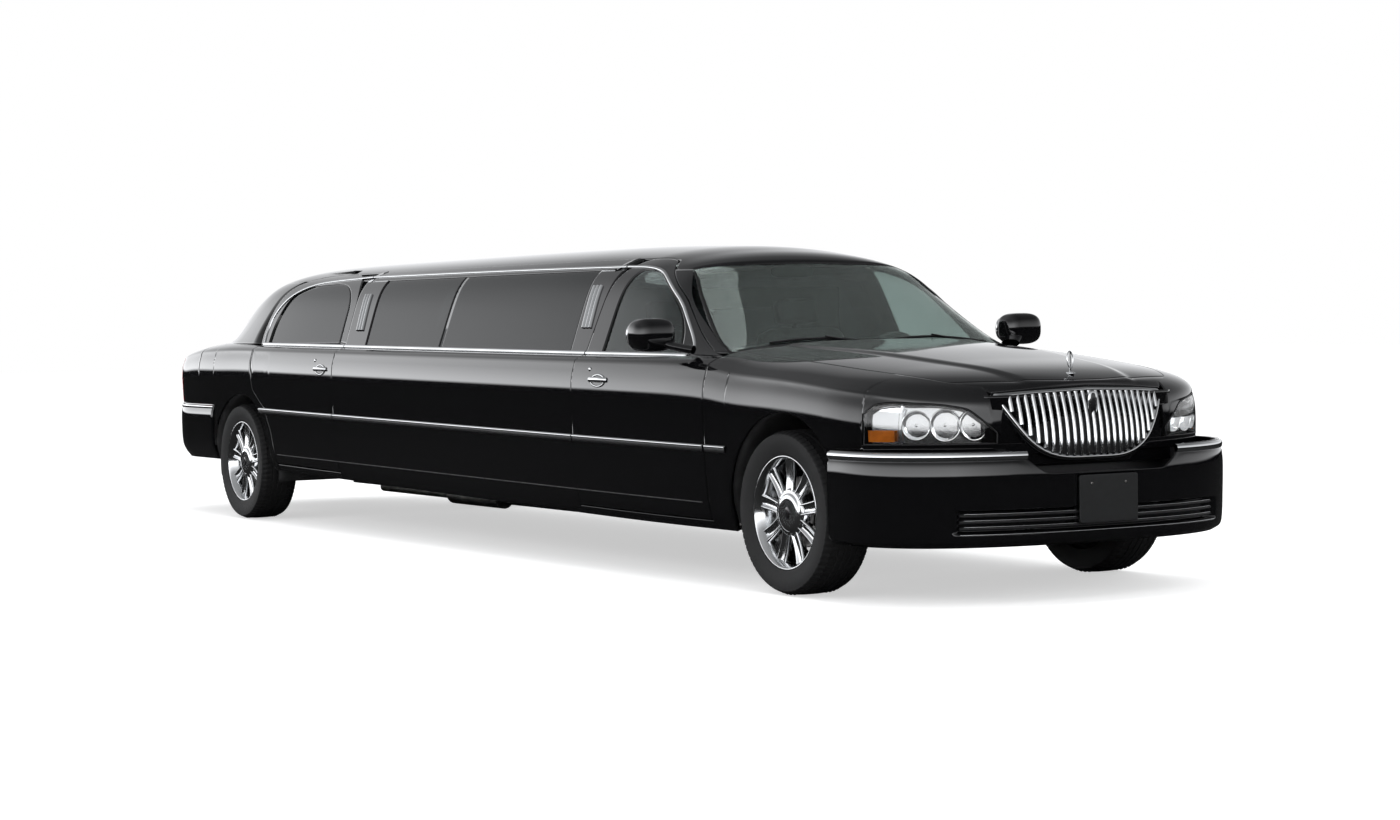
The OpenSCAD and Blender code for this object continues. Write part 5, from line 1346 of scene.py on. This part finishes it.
def wheel_parts(centre, side, half):
    """Rim barrel and lip, nine ribbed spokes, and a stepped hub cover."""
    barrel = revolve([(RIM_R - 1, half), (RIM_R - 4, half + 3), (RIM_R - 10, half + 2),
                      (RIM_R - 14, half - 8), (RIM_R - 24, half - 20), (RIM_R - 28, half - 60),
                      (RIM_R - 46, half - 90),
                      (RIM_R - 46, -half + 20), (RIM_R - 16, -half + 6), (RIM_R - 1, -half)], centre, side)
    hub = revolve([(104, half - 62), (104, half - 30), (98, half - 22), (92, half - 20), (84, half - 22),
                   (80, half - 17), (72, half - 13), (58, half - 12), (40, half - 12.5),
                   (0.5, half - 12)], centre, side)
    parts = [barrel, hub]
    radius = np.linspace(88, RIM_R - 14, 14)
    widen = 1 + 0.22 * (radius - 88) / 140
    rib = np.array([(-25, -26), (-25, -2), (-22, 2), (-17, 2), (-14, -5), (-5, -7), (5, -7), (14, -5),
                    (17, 2), (22, 2), (25, -2), (25, -26)], float)
    profile = rib[None] * np.stack([widen, np.ones(14)], -1)[:, None, :]
    lift = half - 22 - 6 * np.sin((radius - 88) / (RIM_R - 102) * math.pi)
    for k in range(SPOKES):
        angle = 2 * math.pi * k / SPOKES + math.pi / 2
        path = np.stack([centre[0] + radius * math.cos(angle), centre[1] + side * lift,
                         centre[2] + radius * math.sin(angle)], -1)
        parts.append(sweep(path, profile, (0, side, 0)))
    return parts

for axle, rear in (("front", False), ("rear", True)):
    for side, word in SIDES.items():
        low, high = box_mm(f"tyre_{axle}_{word}")
        centre = (low + high) / 2
        body = f"wheel_{axle}_{word}"
        piece(f"tyre_tread_{axle}_{word}", [tyre_part(centre, side, high[1] - low[1])], "rubber", body,
              closed=True, replaces=(f"tyre_{axle}_{word}",))
        half = (high[1] - low[1]) / 2 - 14
        parts = wheel_parts(centre, side, half)
        piece(f"wheel_{axle}_{word}_rim", parts[:1], "wheel_chrome", body,
              centre=centre, replaces=(f"rim_{axle}_{word}",))
        piece(f"wheel_{axle}_{word}_spokes", parts[2:], "wheel_chrome", body, closed=True)
        piece(f"wheel_{axle}_{word}_hub", parts[1:2], "wheel_chrome", body,
              centre=centre - np.array([0, side * 300, 0]))
        cap = rounded_form(centre + np.array([0, side * (half - 11), 0]), (17, 3, 26), 1, 1, 16, 32)
        weld(piece(f"wheel_{axle}_{word}_cap", [cap], "cap_black", body, closed=True))
        disc, _ = revolve([(40, half - 88), (150, half - 88), (152, half - 92), (152, half - 108),
                           (150, half - 112), (40, half - 112)], centre, side)
        piece(f"brake_disc_{axle}_{word}", [sheet(disc, True, True)], "steel", body, closed=True)
print(f"wheels with {BLOCKS} tread blocks and {SPOKES} spokes")

# %% [markdown]
# Without housings the sky would show through the arches. Each one is an arch-shaped sheet from the panel's
# edge inwards, with a wall at its inner side.

# %% Wheel housings
for side, word in SIDES.items():
    for axle, arch in (("front", FRONT_ARCH), ("rear", REAR_ARCH)):
        a = np.radians(np.linspace(-12, 192, 60))[:, None]
        y = np.linspace(0, 1, 10)[None, :]
        px = arch[0] + (arch[2] + 8) * np.cos(a) + arch[4] * np.sin(np.clip(a, 0, math.pi))
        pz = np.maximum(arch[1] + (arch[3] + 6 if axle == "front" else arch[3] + 4) * np.sin(a), 245)
        edge = side_width(np.clip(px, TAIL_END, NOSE_END), pz) - 22
        inner = 500.0
        points = np.stack([px + 0 * y, edge + (inner - edge) * y, pz + 0 * y], -1)
        top_z = np.maximum(pz, 520)
        wall = np.stack([px + 0 * y, inner + 0 * px + 0 * y, top_z + (520 - top_z) * y], -1)
        piece(f"wheel_housing_{axle}_{word}", [sheet(on_side(points, side)), sheet(on_side(wall, side))],
              "underbody", "body", wall=3, centre=(arch[0], 0, 2000))
print("wheel housings done")

# %% [markdown]
# A carpeted sheet inside each quarter panel closes the boot's sides when the lid is open.

# %% Boot side trim
trim_x, trim_z = np.meshgrid(np.linspace(TAIL_END + 90, XR - 420, 30), np.linspace(420, 960, 12),
                             indexing="ij")
boot_trim = np.stack([trim_x, np.minimum(side_width(trim_x, trim_z) - 60, 770), trim_z], -1)
for side, word in SIDES.items():
    piece(f"boot_side_trim_{word}", [sheet(on_side(boot_trim, side))], "carpet", "body", wall=4)
print("wheels done")

# %% [markdown]
# ## Cabin
# Seats are padded leather. Each cushion starts as a slightly small rounded box, is remeshed evenly and
# blown up by a short cloth simulation, which gives the crown and the soft corners that a bevelled box
# would lack.

# %% Padded cushions
def blow_up(obj, voxel, cap, frames=14):
    """Even remesh, a short pressured cloth simulation, then movement capped and applied."""
    view = bpy.context.view_layer
    view.objects.active = obj
    remesh = obj.modifiers.new("even", "REMESH")
    remesh.mode, remesh.voxel_size, remesh.use_smooth_shade = "VOXEL", voxel * MM, True
    with bpy.context.temp_override(object=obj, active_object=obj, selected_objects=[obj]):
        bpy.ops.object.modifier_apply(modifier="even")
    count = len(obj.data.vertices)
    before = np.empty(3 * count)
    obj.data.vertices.foreach_get("co", before)
    cloth = obj.modifiers.new("cloth", "CLOTH")
    cloth.settings.use_pressure, cloth.settings.uniform_pressure_force = True, 4.0
    cloth.settings.effector_weights.gravity, cloth.settings.quality = 0.0, 4
    scene = bpy.context.scene
    cloth.point_cache.frame_start, cloth.point_cache.frame_end = 1, frames
    for frame_number in range(1, frames + 1):
        scene.frame_set(frame_number)
    blown = obj.evaluated_get(bpy.context.evaluated_depsgraph_get())
    after = np.empty(3 * count)
    blown.data.vertices.foreach_get("co", after)
    move = (after - before).reshape(-1, 3)
    length = np.linalg.norm(move, axis=1, keepdims=True)
    move *= np.minimum(1, cap * MM / np.maximum(length, 1e-9))
    obj.modifiers.remove(cloth)
    obj.data.vertices.foreach_set("co", (before.reshape(-1, 3) + move).ravel())
    obj.data.polygons.foreach_set("use_smooth", np.ones(len(obj.data.polygons), bool))
    scene.frame_set(1)
    return obj

def cushion(name, centre, half, lean=0.0, pivot=None, voxel=11, replaces=()):
    """One padded leather piece, leaned back about a pivot."""
    form = rounded_form(centre, (half[0] - 10, half[1] - 10, half[2] - 10), 0.22, 0.28, 30, 72)
    if lean:
        form = tilted(form, pivot, lean)
    obj = weld(piece(name, [form], "leather", "body", closed=True, replaces=replaces))
    blow_up(obj, voxel, 9)
    return obj

SEAT_TOP, SEAT_X = 662.0, FD_FRONT - 800
SEAT_LEAN = -14                 # degrees a backrest leans back
for side, word in SIDES.items():
    y = side * 370.0
    pivot = (SEAT_X - 260, y, SEAT_TOP)
    cushion(f"front_cushion_{word}", (SEAT_X, y, SEAT_TOP - 82), (255, 262, 78),
            replaces=("front_seats",) if side == LEFT else ())
    cushion(f"front_backrest_{word}", (SEAT_X - 298, y, SEAT_TOP + 255), (68, 262, 245), SEAT_LEAN, pivot)
    cushion(f"front_headrest_{word}", (SEAT_X - 305, y, SEAT_TOP + 575), (44, 128, 72), SEAT_LEAN, pivot, 9)
    base = rounded_form((SEAT_X - 20, y, 418), (215, 220, 84), 0.1, 0.1, 20, 48)
    weld(piece(f"front_seat_base_{word}", [base], "grey_plastic", "body", closed=True))
BENCH_X = XR + 750 + 260
cushion("bench_cushion", (BENCH_X, 0, SEAT_TOP - 82), (255, 760, 78), voxel=20, replaces=("saloon_seats",))
cushion("bench_backrest", (BENCH_X - 298, 0, SEAT_TOP + 250), (68, 760, 240), SEAT_LEAN,
        (BENCH_X - 260, 0, SEAT_TOP), 20)
side_x0, side_x1 = RD_FRONT + 60, FD_REAR - 815
side_mid, side_len = (side_x0 + side_x1) / 2, (side_x1 - side_x0) / 2
cushion("side_bench_cushion", (side_mid, -563, SEAT_TOP - 82), (side_len, 236, 78), voxel=22)
cushion("side_bench_backrest", (side_mid, -748, SEAT_TOP + 168), (side_len, 52, 165), voxel=22)
bases = [rounded_form((BENCH_X - 20, 0, 418), (215, 700, 84), 0.1, 0.1, 20, 48),
         rounded_form((side_mid, -590, 418), (side_len - 5, 205, 84), 0.1, 0.1, 20, 48)]
weld(piece("saloon_seat_bases", bases, "carpet", "body", closed=True))
print("seats done")

# %% [markdown]
# The headliner is the roof's own grid, lowered and narrowed, and each door card is the door's skin moved
# inwards by 58 mm. The wipers rest on the windscreen's foot.

# %% Headliner, door cards and cabin details
CARD_INSET, LINER_DROP = 58.0, 34
liner_points = roof_points.copy()
liner_points[..., 2] -= LINER_DROP
liner_points[..., 1] *= 0.97
piece("headliner", [sheet(liner_points[6:-6])], "carpet", "body", wall=2, centre=(0, 0, 300))
card_front = np.linspace(FD_REAR + 40, FD_FRONT - 90, 40)
card_rear = np.linspace(XR + 580, RD_FRONT - 40, 30)
for side, word in SIDES.items():
    for end, xs in (("front", card_front), ("rear", card_rear)):
        low = girth_at_height(xs, sill(xs) + 90)[:, None]
        high = (belt_girth(xs) - 0.04)[:, None]
        q = low + (high - low) * shares(16)[None, :]
        card = skin(xs[:, None], q) - np.array([0, CARD_INSET, 0])
        piece(f"{end}_door_card_{word}", [sheet(on_side(card, side))], "leather",
              f"{end}_door_{word}", wall=6)
inner_mirror = rounded_form((XF - 1290, 0, roof_z(0.72)), (9, 120, 32), 0.5, 0.6, 20, 40)
stem_ends = np.array([(XF - 1290, 0, roof_z(0.74)), (XF - 1300, 0, roof_z(0.84))])
mirror_stem = sweep(stem_ends, ring(7, 7), (1, 0, 0))
weld(piece("inner_mirror", [inner_mirror, mirror_stem], "black_plastic", "body", closed=True))
for k, (y0, y1) in enumerate(((640.0, 60.0), (60.0, -560.0))):
    s = np.linspace(0, 1, 24)
    wy = y0 + (y1 - y0) * s
    wz = BELT + 44 + 22 * np.sin(math.pi * s) + 14 * s
    wx = windscreen_x(wy, wz) + 4
    blade = sweep(np.stack([wx, wy, wz], -1), ring(5, 7, 8), (1, 0, 1))
    arm_ends = np.array([(XF - 640, y0 - 60, BELT + 46), (wx[12] + 14, wy[12], wz[12] + 10)])
    arm = sweep(arm_ends, ring(6, 4, 8), (0, 0, 1))
    piece(f"wiper_{k}", [blade, arm], "black_plastic", "body", closed=True)
print("headliner, door cards, inner mirror and wipers done")

# %% [markdown]
# Pieces of the construction that nothing replaces stay as they are and only receive a finish.

# %% Finishes of the carried-over construction
CAD_LOOKS = {"frame_rails": "underbody", "cross_members": "underbody", "floor_pan": "underbody",
             "firewall": "underbody", "heel_board": "carpet", "boot_floor": "carpet",
             "plate_holders": "plate_black", "dashboard": "grey_plastic", "partition": "cloth",
             "bar_cabinet": "wood", "engine": "engine_metal",
             "front_suspension": "underbody", "rear_axle": "underbody", "exhaust": "steel",
             "fuel_tank": "underbody", "steering_wheel": "leather", "knuckle_left": "steel",
             "knuckle_right": "steel"}
for node, look in CAD_LOOKS.items():
    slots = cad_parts[node].material_slots
    if not slots:
        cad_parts[node].data.materials.append(FINISHES[look])
    for slot in slots:
        slot.material = FINISHES[look]
print("cabin and chassis done")

# %% [markdown]
# ## Camera, floor and light
# The camera stands where the car is seen from ahead and to its right, at chest height. The floor and the
# sky are white to the camera, while softer greys light the car.

# %% Camera
camera_data = bpy.data.cameras.new("camera")
camera_data.lens, camera_data.sensor_width = 69.42, 36.0
camera = bpy.data.objects.new("camera", camera_data)
bpy.context.scene.collection.objects.link(camera)
yaw, pitch, roll = 1.0229, 0.0329, -0.0148
ahead = np.array([-math.sin(yaw) * math.cos(pitch), math.cos(yaw) * math.cos(pitch), -math.sin(pitch)])
rightward = np.array([math.cos(yaw), math.sin(yaw), 0.0])
upward = np.cross(rightward, ahead)
camera_right = math.cos(roll) * rightward + math.sin(roll) * upward
camera_up = -math.sin(roll) * rightward + math.cos(roll) * upward
turn = Matrix([[camera_right[k], camera_up[k], -ahead[k]] for k in range(3)]).to_4x4()
camera.matrix_world = Matrix.Translation(((XF + 9570.0) * MM, -7.156, 1.170)) @ turn
camera_data.clip_end = 200
bpy.context.scene.camera = camera
bpy.context.scene.view_settings.view_transform = "Standard"
print(f"camera with a {camera_data.lens:.1f} mm lens")

# %% [markdown]
# The floor glows faintly for the camera alone and is dark to reflections. The sky has two ramps: one
# lights the car, and a second one, brightest just above the horizon and towards the camera's side, is
# what glossy finishes mirror. Without it the black paint would mirror a plain white room.

# %% Floor and sky
floor_mesh = bpy.data.meshes.new("floor")
floor_mesh.from_pydata([(-60, -60, 0), (60, -60, 0), (60, 60, 0), (-60, 60, 0)], [], [(0, 1, 2, 3)])
floor = bpy.data.objects.new("floor", floor_mesh)
bpy.context.scene.collection.objects.link(floor)
pale = bpy.data.materials.new("pale_floor")
pale.use_nodes = True
nodes, links = pale.node_tree.nodes, pale.node_tree.links
nodes.remove(nodes["Principled BSDF"])
rays = nodes.new("ShaderNodeLightPath")
matt, glow = nodes.new("ShaderNodeBsdfDiffuse"), nodes.new("ShaderNodeEmission")
add = nodes.new("ShaderNodeAddShader")
tint = nodes.new("ShaderNodeMix")
tint.data_type = "RGBA"
tint.inputs[6].default_value, tint.inputs[7].default_value = (0.72, 0.72, 0.72, 1), (0.02, 0.02, 0.02, 1)
links.new(rays.outputs["Is Glossy Ray"], tint.inputs[0])
links.new(tint.outputs[2], matt.inputs["Color"])
white = nodes.new("ShaderNodeMath")
white.operation = "MULTIPLY"
white.inputs[1].default_value = 0.55
links.new(rays.outputs["Is Camera Ray"], white.inputs[0])
links.new(white.outputs["Value"], glow.inputs["Strength"])
links.new(matt.outputs["BSDF"], add.inputs[0])
links.new(glow.outputs["Emission"], add.inputs[1])
links.new(add.outputs["Shader"], nodes["Material Output"].inputs["Surface"])
floor_mesh.materials.append(pale)

world = bpy.context.scene.world or bpy.data.worlds.new("world")
bpy.context.scene.world = world
world.use_nodes = True
nodes, links = world.node_tree.nodes, world.node_tree.links
sky = nodes["Background"]
place, split = nodes.new("ShaderNodeTexCoord"), nodes.new("ShaderNodeSeparateXYZ")
ramp, path = nodes.new("ShaderNodeValToRGB"), nodes.new("ShaderNodeLightPath")
pick = nodes.new("ShaderNodeMix")
links.new(place.outputs["Generated"], split.inputs["Vector"])
links.new(split.outputs["Z"], ramp.inputs["Fac"])
stops = ramp.color_ramp.elements
stops[0].position, stops[0].color = 0.0, (0.22, 0.22, 0.225, 1)
stops[1].position, stops[1].color = 0.75, (0.95, 0.96, 0.97, 1)
stops.new(0.25).color = (0.55, 0.56, 0.57, 1)
mirrored, near_side = nodes.new("ShaderNodeValToRGB"), nodes.new("ShaderNodeMapRange")
dim = nodes.new("ShaderNodeMix")
glossy_pick = nodes.new("ShaderNodeMix")
links.new(split.outputs["Z"], mirrored.inputs["Fac"])
stops = mirrored.color_ramp.elements
stops[0].position, stops[0].color = 0.012, (0.012, 0.012, 0.013, 1)
stops[1].position, stops[1].color = 0.9, (0.30, 0.305, 0.31, 1)
for at, level in ((0.03, 2.3), (0.17, 1.7), (0.36, 0.8), (0.55, 0.34)):
    stops.new(at).color = (level, level * 1.01, level * 1.03, 1)
near_side.inputs["From Min"].default_value, near_side.inputs["From Max"].default_value = -0.35, 0.35
near_side.inputs["To Min"].default_value, near_side.inputs["To Max"].default_value = 1.25, 0.42
links.new(split.outputs["Y"], near_side.inputs["Value"])
dim.data_type, dim.blend_type = "RGBA", "MULTIPLY"
dim.inputs[0].default_value = 1.0
links.new(mirrored.outputs["Color"], dim.inputs[6])
links.new(near_side.outputs["Result"], dim.inputs[7])
glossy_pick.data_type = "RGBA"
links.new(path.outputs["Is Glossy Ray"], glossy_pick.inputs[0])
links.new(ramp.outputs["Color"], glossy_pick.inputs[6])
links.new(dim.outputs[2], glossy_pick.inputs[7])
pick.data_type = "RGBA"
pick.inputs[7].default_value = (1, 1, 1, 1)
camera_or_through = nodes.new("ShaderNodeMath")
camera_or_through.operation = "MAXIMUM"
links.new(path.outputs["Is Camera Ray"], camera_or_through.inputs[0])
links.new(path.outputs["Is Transmission Ray"], camera_or_through.inputs[1])
links.new(camera_or_through.outputs["Value"], pick.inputs[0])
links.new(glossy_pick.outputs[2], pick.inputs[6])
links.new(pick.outputs[2], sky.inputs["Color"])
sky.inputs["Strength"].default_value = 1.0
print("floor and sky done")

# %% [markdown]
# Three large soft panels light the car from above, from its right side and from ahead. They are hidden
# from glossy rays, so that no hard rectangle is mirrored in the paint.

# %% Soft panels of light
def soft_light(name, place, target, size, power):
    """Rectangular lamp that faces a target."""
    data = bpy.data.lights.new(name, "AREA")
    data.shape, data.size, data.size_y, data.energy = "RECTANGLE", size[0], size[1], power
    lamp = bpy.data.objects.new(name, data)
    bpy.context.scene.collection.objects.link(lamp)
    lamp.visible_glossy = False
    away = np.array(place, float) - np.array(target, float)
    z = away / np.linalg.norm(away)
    x = unit(np.cross((0, 1, 0) if abs(z[2]) > 0.9 else (0, 0, 1), z))
    y = np.cross(z, x)
    lamp.matrix_world = Matrix.Translation(place) @ Matrix([[x[k], y[k], z[k]] for k in range(3)]).to_4x4()
    return lamp

soft_light("overhead", (0, 0, 6.5), (0, 0, 0), (11, 4), 420)
soft_light("side_panel", (2, -9, 4.5), (0, 0, 0.6), (12, 2.0), 170)
soft_light("front_panel", (11, 2, 3.5), (3, 0, 0.6), (5, 2.5), 110)
print("three soft panels done")

# %% [markdown]
# The meshes in the scene are counted.

# %% Finish
print(len(bpy.data.meshes), "meshes in the scene")
